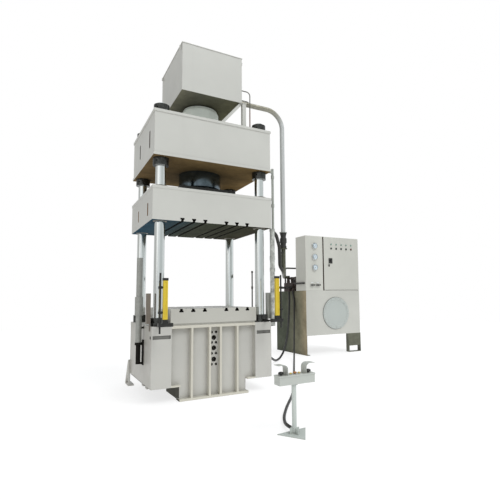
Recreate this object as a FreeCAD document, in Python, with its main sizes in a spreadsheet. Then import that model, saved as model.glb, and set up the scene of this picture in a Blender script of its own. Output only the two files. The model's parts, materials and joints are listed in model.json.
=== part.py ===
import FreeCAD, Part
import os, re, math
import Sketcher
from FreeCAD import Vector, Rotation, Placement

# Four-column down-stroking hydraulic press with a separate power unit and a
# two-hand control stand.  Millimetres, +Z up, +X to the right along the front,
# +Y to the back.  The origin is on the press axis, at the floor.

doc = FreeCAD.newDocument("hydraulic_press")
sheet = doc.addObject("Spreadsheet::Sheet", "sheet")

CELLS = [
    # bed
    ("bed_hw", 883, "half width over the end blocks"),
    ("bed_hd", 761, "half depth of bed, slide and crown"),
    ("bed_top", 1003, "top face of the bed"),
    ("block_in", 615, "inner edge of an end block"),
    ("block_bot", 194, "underside of the end blocks"),
    ("panel_hd", 685, "half depth to the recessed front panel"),
    ("foot_hw", 490, "half width of the foot frame"),
    ("sole_hw", 505, "half width of the sole flange"),
    ("sole_t", 30, "sole flange thickness"),
    ("plate_t", 40, "welded plate thickness"),
    ("rib_t", 30, "front rib thickness"),
    ("rib_out", 335, "outer front rib position"),
    ("rib_mid", 80, "inner front rib position"),
    ("anchor_x", 450, "anchor hole position across"),
    ("anchor_y", 723, "anchor hole position along"),
    ("anchor_r", 14, "anchor hole radius"),
    # bolster
    ("bol_hw", 633, "half width of the bolster plate"),
    ("bol_bot", 1028, "underside of the bolster body"),
    ("bol_top", 1227, "top face of the bolster"),
    ("slot_a", 160, "first T-slot position"),
    ("slot_b", 325, "second T-slot position"),
    ("slot_c", 490, "third T-slot position"),
    ("neck_w", 36, "T-slot neck width"),
    ("neck_d", 24, "T-slot neck depth"),
    ("tee_w", 58, "T-slot foot width"),
    ("tee_d", 23, "T-slot foot depth"),
    # columns and nuts
    ("col_x", 764, "column position across"),
    ("col_y", 611, "column position along"),
    ("col_rad", 70, "column radius"),
    ("col_bot", 225, "lower end of a column"),
    ("col_top", 4122, "upper end of a column"),
    ("nut_rad", 108, "column nut radius"),
    ("nut_len", 110, "column nut length"),
    ("nut_seat", 350, "lower nut seat in the end block"),
    # crown
    ("crown_hw", 890, "half width of the crown"),
    ("crown_bot", 3327, "underside of the crown"),
    ("crown_top", 3983, "top face of the crown"),
    ("lip", 11, "overhang of the crown plates"),
    # slide
    ("slide_hw", 900, "half width of the slide"),
    ("slide_bot", 2432, "underside of the slide at the top of its stroke"),
    ("slide_top", 2905, "top of the slide"),
    ("bush_rad", 95, "guide bush outer radius"),
    ("run_gap", 0.08, "radial running clearance"),
    # main cylinder
    ("barrel_rad", 292, "cylinder barrel outer radius"),
    ("ring_rad", 330, "cylinder flange ring radius"),
    ("ring_bot", 3078, "underside of the flange ring"),
    ("barrel_top", 4416, "top of the cylinder"),
    ("piston_rad", 200, "main bore radius"),
    ("ram_rad", 170, "main ram radius"),
    ("spigot_rad", 140, "ram spigot radius"),
    ("ram_plate_hw", 432, "half width of the ram plate"),
    ("ram_plate_top", 3035, "top of the ram plate"),
    ("gland_len", 162, "length of the gland in the bore"),
    ("gland_rad", 250, "gland flange radius"),
    # top tank
    ("ttank_hw", 477, "half width of the upper tank"),
    ("ttank_hd", 609, "half depth of the upper tank"),
    ("ttank_bot", 4416, "underside of the upper tank"),
    ("ttank_top", 5147, "top of the upper tank shell"),
    ("sheet_t", 8, "tank sheet thickness"),
    # ejector
    ("ej_rad", 130, "ejector cylinder radius"),
    ("ej_bore", 100, "ejector bore radius"),
    ("ej_rod", 60, "ejector rod radius"),
    ("ej_pad", 88, "ejector pad radius"),
    # power unit
    ("unit_x", 3238, "left face of the power unit"),
    ("unit_w", 1597, "power unit width"),
    ("unit_y", 1945, "front face of the power unit"),
    ("unit_d", 1459, "power unit depth"),
    ("utank_bot", 455, "underside of the oil tank"),
    ("utank_top", 1516, "top of the oil tank"),
    ("cab_top", 2832, "top of the control cabinet"),
    ("cab_d", 447, "control cabinet depth"),
    ("door_x", 3766, "left edge of the cabinet door"),
    ("door_t", 25, "door thickness"),
    ("man_x", 4094, "manhole centre across"),
    ("man_z", 965, "manhole centre height"),
    ("man_rad", 383, "manhole cover radius"),
    ("lamp_x", 3992, "first lamp and button position"),
    ("lamp_dx", 154, "lamp and button pitch"),
    ("lamp_z", 2649, "lamp row height"),
    ("but_z", 2548, "button row height"),
    ("gauge_x", 3495, "gauge column position"),
    ("gauge_rad", 70, "gauge case radius"),
    # pedestal
    ("ped_x", -63, "left end of the pedestal box"),
    ("ped_w", 414, "pedestal box length"),
    ("ped_y", -2733, "front of the pedestal box"),
    ("ped_d", 119, "pedestal box depth"),
    ("ped_bot", 493, "underside of the pedestal box"),
    ("ped_top", 585, "top of the pedestal box"),
    ("post_rad", 24, "pedestal post radius"),
    # upright conduit at the front right corner
    ("corner_x", 950, "conduit position across"),
]
VAL = {}
for i, (name, value, note) in enumerate(CELLS):
    sheet.set("A%d" % (i + 1), note)
    sheet.set("B%d" % (i + 1), str(value))
    sheet.setAlias("B%d" % (i + 1), name)
    VAL[name] = value
doc.recompute()


def q(e):
    """Qualify the aliases in an expression."""
    return re.sub(r"[a-z_]+", lambda k: "sheet." + k.group(0) if k.group(0) in VAL else k.group(0), e)


def val(e):
    """Number of a sheet expression."""
    if isinstance(e, str):
        return float(FreeCAD.Units.Quantity(re.sub(r"[a-z_]+", lambda k: "(%r)" % float(VAL[k.group(0)]), e)).Value)
    return float(e)


def bind(obj, prop, e):
    if isinstance(e, str):
        obj.setExpression(prop, q(e))
    else:
        if prop.startswith("Placement.Base."):
            b = obj.Placement.Base
            setattr(b, prop[-1], float(e))
            obj.Placement = Placement(b, obj.Placement.Rotation)
        else:
            setattr(obj, prop, e)


N = [0]


def new(kind, name=None):
    N[0] += 1
    o = doc.addObject(kind, name or "f%03d" % N[0])
    return o


TURN = {"Z": Rotation(), "X": Rotation(Vector(0, 1, 0), 90), "Y": Rotation(Vector(1, 0, 0), -90),
        "-Y": Rotation(Vector(1, 0, 0), 90)}


def at(o, x, y, z, rot=None):
    if rot is not None:
        o.Placement = Placement(Vector(0, 0, 0), rot)
    bind(o, "Placement.Base.x", x)
    bind(o, "Placement.Base.y", y)
    bind(o, "Placement.Base.z", z)
    return o


def p(e):
    return "(%s)" % e


def box(xa, xb, ya, yb, za, zb, name=None):
    """Box between two corners."""
    o = new("Part::Box", name)
    for prop, a, b in (("Length", xa, xb), ("Width", ya, yb), ("Height", za, zb)):
        bind(o, prop, "%s-%s" % (p(b), p(a)))
    return at(o, p(xa), p(ya), p(za))


def cyl(r, h, x, y, z, axis="Z", name=None):
    o = new("Part::Cylinder", name)
    bind(o, "Radius", str(r))
    bind(o, "Height", str(h))
    return at(o, str(x), str(y), str(z), TURN[axis])


def hexa(r, h, x, y, z, axis="Z"):
    o = new("Part::Prism")
    o.Polygon = 6
    bind(o, "Circumradius", str(r))
    bind(o, "Height", str(h))
    return at(o, str(x), str(y), str(z), TURN[axis])


def fuse(objs, name=None):
    if len(objs) == 1 and not name:
        return objs[0]
    o = new("Part::MultiFuse", name)
    o.Shapes = list(objs)
    o.Refine = True
    return o


def cut(base, tools, name=None):
    o = new("Part::Cut", name)
    o.Base = base
    o.Tool = tools[0] if len(tools) == 1 else fuse(tools)
    o.Refine = True
    return o


def group(objs, name):
    o = new("Part::Compound", name)
    o.Links = list(objs)
    return o


def ring(ro, ri, h, x, y, z, axis="Z", name=None):
    return cut(cyl(ro, h, x, y, z, axis), [cyl(ri, h, x, y, z, axis)], name)


def origin_plane(body, role):
    for f in body.Origin.OriginFeatures:
        if f.Role == role:
            return f


def sketch_poly(body, pts, role="XZ_Plane"):
    """Closed polygon whose corners are bound to sheet expressions."""
    sk = body.newObject("Sketcher::SketchObject", "sk%03d" % N[0])
    sk.AttachmentSupport = [(origin_plane(body, role), "")]
    sk.MapMode = "FlatFace"
    n = len(pts)
    nums = [(val(a), val(b)) for a, b in pts]
    for k in range(n):
        a, b = nums[k], nums[(k + 1) % n]
        sk.addGeometry(Part.LineSegment(Vector(a[0], a[1], 0), Vector(b[0], b[1], 0)), False)
    for k in range(n):
        sk.addConstraint(Sketcher.Constraint("Coincident", k, 2, (k + 1) % n, 1))
    for k in range(n):
        for axis, num, e in (("X", nums[k][0], pts[k][0]), ("Y", nums[k][1], pts[k][1])):
            if abs(num) < 1e-9:
                sk.addConstraint(Sketcher.Constraint("PointOnObject", k, 1, -2 if axis == "X" else -1))
            else:
                c = sk.addConstraint(Sketcher.Constraint("Distance" + axis, -1, 1, k, 1, num))
                if isinstance(e, str):
                    sk.renameConstraint(c, "d%s%d" % (axis, k))
                    sk.setExpression("Constraints.d%s%d" % (axis, k), q(e))
    return sk


def turned(name, pts, x="0", y="0", z="0", axis="Z"):
    """A turned piece: PartDesign revolution of a half profile (radius, height)."""
    N[0] += 1
    body = doc.addObject("PartDesign::Body", name or "f%03d" % N[0])
    sk = sketch_poly(body, pts)
    doc.recompute()
    rev = body.newObject("PartDesign::Revolution", "rev%03d" % N[0])
    rev.Profile = sk
    rev.ReferenceAxis = (sk, ["V_Axis"])
    rev.Angle = 360
    body.Tip = rev
    at(body, str(x), str(y), str(z), TURN[axis])
    return body


def padded(name, pts, length, x="0", y="0", z="0", role="XY_Plane", rot=None):
    """A plate: PartDesign pad of a closed outline."""
    N[0] += 1
    body = doc.addObject("PartDesign::Body", name or "f%03d" % N[0])
    sk = sketch_poly(body, pts, role)
    doc.recompute()
    pad = body.newObject("PartDesign::Pad", "pad%03d" % N[0])
    pad.Profile = sk
    bind(pad, "Length", str(length))
    body.Tip = pad
    at(body, str(x), str(y), str(z), rot if rot is not None else Rotation())
    return body


def route(pts, radii=None):
    """Straight runs joined by tangent arcs; returns the wire, its length and the radii."""
    P = [Vector(*a) for a in pts]
    edges, cur, used = [], P[0], []
    for k in range(1, len(P) - 1):
        a, b, c = P[k - 1], P[k], P[k + 1]
        u, w = (a - b), (c - b)
        la, lc = u.Length, w.Length
        u.normalize()
        w.normalize()
        turn = math.pi - u.getAngle(w)
        if radii is None:
            r = 0.45 * min(la, lc) / math.tan(turn / 2)
        else:
            r = radii[k - 1] if isinstance(radii, (list, tuple)) else radii
        t = r * math.tan(turn / 2)
        used.append(round(r))
        s, e = b + u * t, b + w * t
        mid = b + (u + w).normalize() * (r / math.cos(turn / 2) - r)
        if (s - cur).Length > 1e-6:
            edges.append(Part.LineSegment(cur, s).toShape())
        edges.append(Part.Arc(s, mid, e).toShape())
        cur = e
    edges.append(Part.LineSegment(cur, P[-1]).toShape())
    return Part.Wire(edges), sum(e.Length for e in edges), used


def swept(pts, r, radii=None, bore=0):
    """Round bar or tube along a route."""
    wire, length, used = route(pts, radii)
    d = (Vector(*pts[1]) - Vector(*pts[0])).normalize()
    prof = Part.Wire([Part.makeCircle(r, Vector(*pts[0]), d)])
    s = wire.makePipeShell([prof], True, False)
    if bore:
        inner = wire.makePipeShell([Part.Wire([Part.makeCircle(bore, Vector(*pts[0]), d)])], True, False)
        s = s.cut(inner)
    if s.ShapeType != "Solid" and len(s.Solids) == 1:
        s = s.Solids[0]
    want = math.pi * (r * r - bore * bore) * length
    if abs(s.Volume - want) > 0.02 * want:
        raise SystemExit("tube volume %.0f differs from section x length %.0f" % (s.Volume, want))
    return s, length, used


def feature(shape, name):
    o = new("Part::Feature", name)
    o.Shape = shape
    return o


SIGN = (("-", "-"), ("", "-"), ("-", ""), ("", ""))     # front left, front right, rear left, rear right

# ------------------------------------------------------------------ bed
solid = [
    box("-bed_hw", "-block_in", "-bed_hd", "bed_hd", "block_bot", "bed_top"),
    box("block_in", "bed_hw", "-bed_hd", "bed_hd", "block_bot", "bed_top"),
    box("-block_in", "block_in", "-panel_hd", "panel_hd", "block_bot", "bed_top"),
    box("-block_in", "block_in", "-bed_hd", "bed_hd", "bed_top-plate_t", "bed_top"),
    # sole flanges, front and rear, and the spine between them
    box("-sole_hw", "sole_hw", "-bed_hd", "-panel_hd+85", "0", "sole_t"),
    box("-sole_hw", "sole_hw", "panel_hd-85", "bed_hd", "0", "sole_t"),
    box("-150", "150", "-panel_hd", "panel_hd", "0", "sole_t"),
    # foot frame
    box("-foot_hw", "foot_hw", "-panel_hd", "-panel_hd+plate_t", "0", "block_bot"),
    box("-foot_hw", "foot_hw", "panel_hd-plate_t", "panel_hd", "0", "block_bot"),
    box("-foot_hw", "-foot_hw+plate_t", "-panel_hd", "10", "0", "block_bot"),
    box("foot_hw-plate_t", "foot_hw", "-panel_hd", "10", "0", "block_bot"),
    box("-foot_hw", "-foot_hw+plate_t", "600", "panel_hd", "0", "block_bot"),
    box("foot_hw-plate_t", "foot_hw", "600", "panel_hd", "0", "block_bot"),
    # lips beside the foot frame
    box("-block_in", "-foot_hw+2", "-bed_hd", "-panel_hd", "block_bot", "block_bot+22"),
    box("foot_hw-2", "block_in", "-bed_hd", "-panel_hd", "block_bot", "block_bot+22"),
]
for s in ("-rib_out", "rib_out", "-rib_mid", "rib_mid"):
    for a, b in (("-bed_hd", "-panel_hd"), ("panel_hd", "bed_hd")):
        solid.append(box("%s-rib_t/2" % s, "%s+rib_t/2" % s, a, b, "sole_t", "bed_top-plate_t"))
# rear outrigger feet: a pad, a sloping gusset and its web, on each side
for sx in (-1, 1):
    a, b = ("-bed_hw-30", "-bed_hw+60") if sx < 0 else ("bed_hw-60", "bed_hw+30")
    solid.append(box(a, b, "bed_hd-60", "bed_hd+230", "0", "25"))
    g = padded(None, [("bed_hd-60", "block_bot+210"), ("bed_hd", "block_bot+210"), ("bed_hd+228", "25"),
                      ("bed_hd+150", "25"), ("bed_hd+50", "190"), ("bed_hd-30", "25"), ("bed_hd-60", "25")],
               "30", x="-bed_hw-30" if sx < 0 else "bed_hw", role="YZ_Plane")
    solid.append(g)
    solid.append(box("-bed_hw-30" if sx < 0 else "bed_hw-30", "-bed_hw+30" if sx < 0 else "bed_hw+30",
                     "bed_hd-60", "bed_hd", "block_bot+4", "block_bot+210"))
    # small stop pads under the outer edge of the end block
    for y in (-560, -330):
        xa, xb = ("-bed_hw-8", "-bed_hw+52") if sx < 0 else ("bed_hw-52", "bed_hw+8")
        solid.append(box(xa, xb, "%d" % y, "%d" % (y + 90), "block_bot-22", "block_bot"))
tools = []
# cells between the inner webs, open below
for xa, xb in (("-block_in+40", "-225"), ("-185", "185"), ("225", "block_in-40")):
    for ya, yb in (("-panel_hd+plate_t", "-205"), ("-165", "165"), ("205", "panel_hd-plate_t")):
        tools.append(box(xa, xb, ya, yb, "block_bot-1", "bed_top-plate_t"))
for xa, xb in (("-bed_hw+40", "-block_in-40"), ("block_in+40", "bed_hw-40")):
    for ya, yb in (("-450", "-20"), ("20", "450")):
        tools.append(box(xa, xb, ya, yb, "block_bot-1", "bed_top-60"))
for sx, sy in SIGN:
    tools.append(cyl("col_rad", "bed_top", sx + "col_x", sy + "col_y", "block_bot-1"))
    tools.append(cyl("nut_rad+9", "nut_seat-block_bot+1", sx + "col_x", sy + "col_y", "block_bot-1"))
    tools.append(cyl("anchor_r", "sole_t+2", sx + "anchor_x", sy + "anchor_y", "-1"))
# ejector rod passage and the knock-out holes of the front panel
tools.append(cyl("ej_rod+4", "200", "0", "0", "bed_top-100"))
for z in (811, 666, 509):
    tools.append(cyl("33", "plate_t+2", "0", "-panel_hd-1", str(z), "Y"))
for z in (887, 742, 591, 440):
    for x in ("-32", "32"):
        tools.append(cyl("17", "plate_t+2", x, "-panel_hd-1", str(z), "Y"))
# shallow handling recess across the end-block fronts and round the left corner
tools.append(box("-862", "-634", "-bed_hd-1", "-bed_hd+14", "835", "880"))
tools.append(box("643", "859", "-bed_hd-1", "-bed_hd+14", "835", "880"))
tools.append(box("-bed_hw-1", "-bed_hw+14", "-bed_hd+30", "-bed_hd+95", "838", "874"))
# upright slot in each end face, below the prop socket
tools.append(box("-bed_hw-1", "-bed_hw+30", "-46", "6", "461", "720"))
tools.append(box("bed_hw-30", "bed_hw+1", "-46", "6", "461", "720"))
bed = cut(fuse(solid), tools, "bed_weldment")

# ------------------------------------------------------------------ bolster plate
tools = [cyl("ej_pad+2", "300", "0", "0", "bed_top-1")]
for s in ("slot_a", "slot_b", "slot_c"):
    for g in ("-", ""):
        tools.append(box("%s%s-neck_w/2" % (g, s), "%s%s+neck_w/2" % (g, s), "-bed_hd-1", "bed_hd+1", "bol_top-neck_d-1", "bol_top+1"))
        tools.append(box("%s%s-tee_w/2" % (g, s), "%s%s+tee_w/2" % (g, s), "-bed_hd-1", "bed_hd+1", "bol_top-neck_d-tee_d", "bol_top-neck_d"))
bolster = cut(fuse([box("-bol_hw", "bol_hw", "-bed_hd", "bed_hd", "bol_bot", "bol_top"),
                    box("-block_in", "block_in", "-bed_hd+14", "bed_hd-14", "bed_top", "bol_bot")]), tools, "bolster_plate")

# ------------------------------------------------------------------ columns
cols = []
for (sx, sy), nm in zip(SIGN, ("front_left", "front_right", "rear_left", "rear_right")):
    cols.append(turned("column_" + nm, [("0", "col_bot"), ("col_rad-8", "col_bot"), ("col_rad", "col_bot+8"),
                                        ("col_rad", "col_top-8"), ("col_rad-8", "col_top"), ("0", "col_top")],
                       x=sx + "col_x", y=sy + "col_y"))
end_nuts, inner_nuts = [], []
for sx, sy in SIGN:
    for z, lst in (("crown_top", end_nuts), ("nut_seat-nut_len", end_nuts), ("crown_bot-nut_len", inner_nuts), ("bed_top", inner_nuts)):
        body = cyl("nut_rad", "nut_len", sx + "col_x", sy + "col_y", z)
        holes = [cyl("col_rad", "nut_len", sx + "col_x", sy + "col_y", z)]
        # tommy-bar holes round the nut
        for k in range(4):
            c = cyl("10", "34", "0", "0", "0")
            ang = 45 + 90 * k
            c.Placement = Placement(Vector(0, 0, 0), Rotation(Vector(-math.sin(math.radians(ang)), math.cos(math.radians(ang)), 0), 90))
            bind(c, "Placement.Base.x", "%scol_x+(nut_rad-30)*%.6f" % (sx, math.cos(math.radians(ang))))
            bind(c, "Placement.Base.y", "%scol_y+(nut_rad-30)*%.6f" % (sy, math.sin(math.radians(ang))))
            bind(c, "Placement.Base.z", "%s+nut_len/2" % z)
            holes.append(c)
        lst.append(cut(body, holes))
group(end_nuts, "end_nuts")
group(inner_nuts, "inner_nuts")

# ------------------------------------------------------------------ crown
solid = [box("-crown_hw", "crown_hw", "-bed_hd", "bed_hd", "crown_bot", "crown_top"),
         box("-crown_hw-lip", "crown_hw+lip", "-bed_hd-lip", "bed_hd+lip", "crown_bot", "crown_bot+plate_t"),
         box("-crown_hw-lip", "crown_hw+lip", "-bed_hd-lip", "bed_hd+lip", "crown_top-plate_t", "crown_top")]
tools = [cyl("barrel_rad", "2000", "0", "0", "crown_bot-100")]
for sx, sy in SIGN:
    tools.append(cyl("col_rad", "2000", sx + "col_x", sy + "col_y", "crown_bot-100"))
for xa, xb, wa, wb in (("-crown_hw+40", "-345", "-crown_hw-1", "-crown_hw+60"), ("345", "crown_hw-40", "crown_hw-60", "crown_hw+1")):
    tools.append(box(xa, xb, "-490", "490", "crown_bot+55", "crown_top-55"))
    tools.append(box(wa, wb, "-490", "-432", "3507", "3756"))
    tools.append(box(wa, wb, "205", "255", "3539", "3765"))
for ya, yb in (("-bed_hd+46", "-340"), ("340", "bed_hd-46")):
    tools.append(box("-600", "600", ya, yb, "crown_bot+55", "crown_top-55"))
cut(fuse(solid), tools, "crown_weldment")

# ------------------------------------------------------------------ main cylinder
barrel = turned(None, [("piston_rad", "ring_bot"), ("ring_rad-14", "ring_bot"), ("ring_rad", "ring_bot+14"), ("ring_rad", "crown_bot"),
                       ("barrel_rad", "crown_bot"), ("barrel_rad", "barrel_top-70"), ("barrel_rad-22", "barrel_top-22"), ("barrel_rad-80", "barrel_top"),
                       ("80", "barrel_top"), ("80", "barrel_top-120"), ("piston_rad", "barrel_top-120")])
tools, bolts = [], []
for k in range(12):
    a = math.radians(15 + 30 * k)
    x, y = "225*%.6f" % math.cos(a), "225*%.6f" % math.sin(a)
    tools.append(cyl("8.2", "70", x, y, "ring_bot-1"))
    bolts.append(fuse([cyl("8", "80", x, y, "ring_bot-25"), hexa("14", "10", x, y, "ring_bot-35")]))
cut(barrel, tools, "cylinder_barrel")
gland = turned(None, [("ram_rad+run_gap", "ring_bot-25"), ("gland_rad", "ring_bot-25"), ("gland_rad", "ring_bot"), ("piston_rad", "ring_bot"),
                      ("piston_rad", "ring_bot+gland_len"), ("ram_rad+run_gap", "ring_bot+gland_len")])
tools = []
for k in range(12):
    a = math.radians(15 + 30 * k)
    tools.append(cyl("8.2", "30", "225*%.6f" % math.cos(a), "225*%.6f" % math.sin(a), "ring_bot-27"))
cut(gland, tools, "gland_ring")
group(bolts, "gland_bolts")
turned("main_ram", [("0", "slide_top"), ("spigot_rad", "slide_top"), ("spigot_rad", "ram_plate_top"), ("ram_rad", "ram_plate_top"),
                    ("ram_rad", "4060"), ("piston_rad-run_gap", "4060"), ("piston_rad-run_gap", "4240"), ("0", "4240")])

# ------------------------------------------------------------------ slide
solid = [box("-slide_hw", "slide_hw", "-bed_hd", "bed_hd", "slide_bot", "slide_top-40"),
         box("-slide_hw-5", "slide_hw+5", "-bed_hd-5", "bed_hd+5", "slide_top-40", "slide_top")]
tools = []
for s in ("slot_a", "slot_b", "slot_c"):
    for g in ("-", ""):
        tools.append(box("%s%s-neck_w/2" % (g, s), "%s%s+neck_w/2" % (g, s), "-bed_hd-1", "bed_hd+1", "slide_bot-1", "slide_bot+neck_d+1"))
        tools.append(box("%s%s-tee_w/2" % (g, s), "%s%s+tee_w/2" % (g, s), "-bed_hd-1", "bed_hd+1", "slide_bot+neck_d", "slide_bot+neck_d+tee_d"))
for sx, sy in SIGN:
    tools.append(cyl("bush_rad", "2000", sx + "col_x", sy + "col_y", "slide_bot-100"))
for xa, xb, wa, wb in (("-slide_hw+40", "-440", "-slide_hw-1", "-slide_hw+60"), ("440", "slide_hw-40", "slide_hw-60", "slide_hw+1")):
    tools.append(box(xa, xb, "-490", "490", "slide_bot+90", "slide_top-60"))
    tools.append(box(wa, wb, "-488", "-430", "2526", "2706"))
    tools.append(box(wa, wb, "186", "234", "2540", "2709"))
tools.append(box("-400", "400", "-490", "490", "slide_bot+110", "slide_top-110"))
tools.append(box("-445", "-395", "-200", "200", "slide_bot+140", "slide_top-140"))
tools.append(box("395", "445", "-200", "200", "slide_bot+140", "slide_top-140"))
rb = [(x, y) for x in (-370, 0, 370) for y in (-370, 0, 370) if (x, y) != (0, 0)]
for x, y in rb:
    tools.append(cyl("18.2", "62", str(x), str(y), "slide_top-60"))
cut(fuse(solid), tools, "slide_weldment")
cut(box("-ram_plate_hw", "ram_plate_hw", "-ram_plate_hw", "ram_plate_hw", "slide_top", "ram_plate_top"),
    [cyl("spigot_rad", "400", "0", "0", "slide_top-100")] + [cyl("18.2", "400", str(x), str(y), "slide_top-100") for x, y in rb], "ram_plate")
group([fuse([cyl("18", "ram_plate_top-slide_top+50", str(x), str(y), "slide_top-50"), hexa("31", "22", str(x), str(y), "ram_plate_top")])
       for x, y in rb], "ram_bolts")
bushes = []
for sx, sy in SIGN:
    bushes.append(turned(None, [("col_rad+run_gap", "slide_bot+2"), ("bush_rad", "slide_bot+2"),
                                ("bush_rad", "slide_top"), ("bush_rad+14", "slide_top"), ("bush_rad+14", "slide_top+22"), ("col_rad+run_gap", "slide_top+22")],
                         x=sx + "col_x", y=sy + "col_y"))
group(bushes, "guide_bushes")

# ------------------------------------------------------------------ ejector under the bed
turned("ejector_barrel", [("0", "230"), ("ej_rad", "230"), ("ej_rad", "905"), ("ej_rad+25", "905"), ("ej_rad+25", "bed_top-plate_t"),
                          ("ej_rod+run_gap", "bed_top-plate_t"), ("ej_rod+run_gap", "860"), ("ej_bore", "860"), ("ej_bore", "262"), ("0", "262")])
turned("ejector_rod", [("0", "300"), ("ej_bore-run_gap", "300"), ("ej_bore-run_gap", "380"), ("ej_rod", "380"), ("ej_rod", "bol_top-32"),
                       ("ej_pad-3", "bol_top-32"), ("ej_pad", "bol_top-29"), ("ej_pad", "bol_top-3"), ("ej_pad-3", "bol_top"), ("0", "bol_top")])

# ------------------------------------------------------------------ upper tank
shell = cut(box("-ttank_hw", "ttank_hw", "-ttank_hd", "ttank_hd", "ttank_bot", "ttank_top"),
            [box("-ttank_hw+sheet_t", "ttank_hw-sheet_t", "-ttank_hd+sheet_t", "ttank_hd-sheet_t", "ttank_bot+sheet_t", "ttank_top+1"),
             cyl("80", "100", "0", "0", "ttank_bot-50"), cyl("30", "60", "ttank_hw-30", "-500", "4464", "X")])
lugs = []
for g in ("-", ""):
    for y in (-560, 520):
        xa, xb = ("-ttank_hw-30", "-ttank_hw") if g else ("ttank_hw", "ttank_hw+30")
        lugs.append(box(xa, xb, str(y), str(y + 14), "ttank_top-75", "ttank_top-25"))
fuse([shell] + lugs, "top_tank")
fuse([box("-ttank_hw-6", "ttank_hw+6", "-ttank_hd-6", "ttank_hd+6", "ttank_top", "ttank_top+10"),
      cyl("45", "60", "250", "300", "ttank_top+10"), cyl("60", "22", "250", "300", "ttank_top+50")], "top_tank_lid")
brace = padded(None, [("442", "ttank_bot"), ("500", "ttank_bot"), ("130", "crown_top"), ("72", "crown_top")], "40",
               y="-560", role="XZ_Plane")
fuse([box("480", "540", "-625", "-565", "crown_top", "ttank_bot-8"), box("440", "548", "-630", "-540", "ttank_bot-8", "ttank_bot"),
      box("466", "556", "-640", "-550", "crown_top", "crown_top+12"), brace])
legs = [doc.Objects[-1]]
rear = fuse([box("480", "540", "565", "625", "crown_top", "ttank_bot-8"), box("440", "548", "540", "630", "ttank_bot-8", "ttank_bot"),
             box("466", "556", "550", "640", "crown_top", "crown_top+12")])
group(legs + [rear], "top_tank_supports")

# ------------------------------------------------------------------ pipework
# big return pipe: out of the upper tank, over the elbow, down beside the press
s1, ln, rr = swept([(477, -500, 4464), (1256, -500, 4464), (1256, -500, 2412)], 38, [290], 33)
print("return pipe upper %.0f" % ln, rr)
s2, ln, rr = swept([(1256, -500, 2166), (1256, -500, 1776), (3160, 2860, 1872), (3262, 2860, 1872)], 36, [150, 70], 31)
print("return pipe lower %.0f" % ln, rr)
fl = []
for z in (2412, 2150):
    fl.append(Part.makeCylinder(62, 16, Vector(1256, -500, z)).cut(Part.makeCylinder(34, 16, Vector(1256, -500, z))))
up = s1.cut(Part.makeCylinder(34, 16, Vector(1256, -500, 2412))).fuse(fl[0]).removeSplitter()
low = s2.fuse(Part.makeCylinder(62, 16, Vector(1256, -500, 2150)).cut(Part.makeCylinder(31, 16, Vector(1256, -500, 2150)))).removeSplitter()
colr = Part.makeCylinder(60, 14, Vector(477, -500, 4464), Vector(1, 0, 0)).cut(Part.makeCylinder(36, 14, Vector(477, -500, 4464), Vector(1, 0, 0)))
up = up.fuse(colr).removeSplitter()
feature(Part.makeCompound([up.Solids[0] if len(up.Solids) == 1 else up, low.Solids[0] if len(low.Solids) == 1 else low]), "return_pipe")
turned("pipe_sleeve", [("34", "2166"), ("52", "2166"), ("52", "2196"), ("45", "2206"), ("45", "2240"), ("56", "2256"), ("56", "2322"), ("45", "2338"),
                       ("45", "2372"), ("52", "2382"), ("52", "2412"), ("34", "2412")], x="1256", y="-500")
# upright conduit at the front right corner with its clamps and couplings
fuse([cyl("37", "1480", "corner_x", "-690", "930"), cyl("19", "1000", "corner_x+16", "-690", "2400"), cyl("42", "44", "corner_x", "-690", "2390"),
      cyl("42", "60", "corner_x", "-690", "1945"), cyl("42", "60", "corner_x", "-690", "1765"), cyl("42", "50", "corner_x", "-690", "1060"),
      cyl("25", "50", "corner_x+16", "-690", "3240"), cyl("25", "50", "corner_x+16", "-690", "2780"), box("bed_hw", "corner_x", "-719", "-661", "948", "986"),
      box("crown_hw+lip", "corner_x+16", "-708", "-672", "crown_bot+4", "crown_bot+36")], "corner_pipe")
small = []
# two thin vent and drain tubes from the upper tank down to the crown
for pts, rad in (([(470, -575, 4640), (630, -575, 4640), (630, -575, 3983)], 60),
                 ([(470, -420, 4560), (700, -420, 4560), (700, -420, 3983)], 60)):
    s, ln, rr = swept(pts, 8, [rad])
    small.append(s.cut(Part.makeBox(8, 60, 60, Vector(469, pts[0][1] - 30, pts[0][2] - 30))))
# branch tube from the corner conduit to the return pipe
s, ln, rr = swept([(956, -686, 2402), (1050, -640, 2350), (1140, -575, 2170), (1150, -566, 1870), (1225, -515, 1800)], 27, [110, 140, 80])
small.append(s.cut(Part.makeCylinder(36, 800, Vector(1256, -500, 1650))).cut(Part.makeCylinder(42, 200, Vector(950, -690, 2300))))
# strap holding the branch to the return pipe
small.append(Part.makeBox(60, 14, 22, Vector(1172, -555, 2072)))
# lines at the power unit: over the manifold, behind the cabinet, and along its left face
s, ln, rr = swept([(3282, 3000, 1726), (3282, 3000, 2115), (3640, 3000, 2115), (3640, 2392, 2115)], 20, [50, 60])
small.append(s)
s, ln, rr = swept([(3300, 2470, 1692), (3300, 2431, 1692), (3212, 2431, 1692), (3212, 2010, 1692), (3238, 2010, 1692)], 20, [21, 21, 21])
small.append(s)
group([feature(k if k.ShapeType == "Solid" else k.Solids[0], None) for k in small], "control_pipes")

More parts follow.
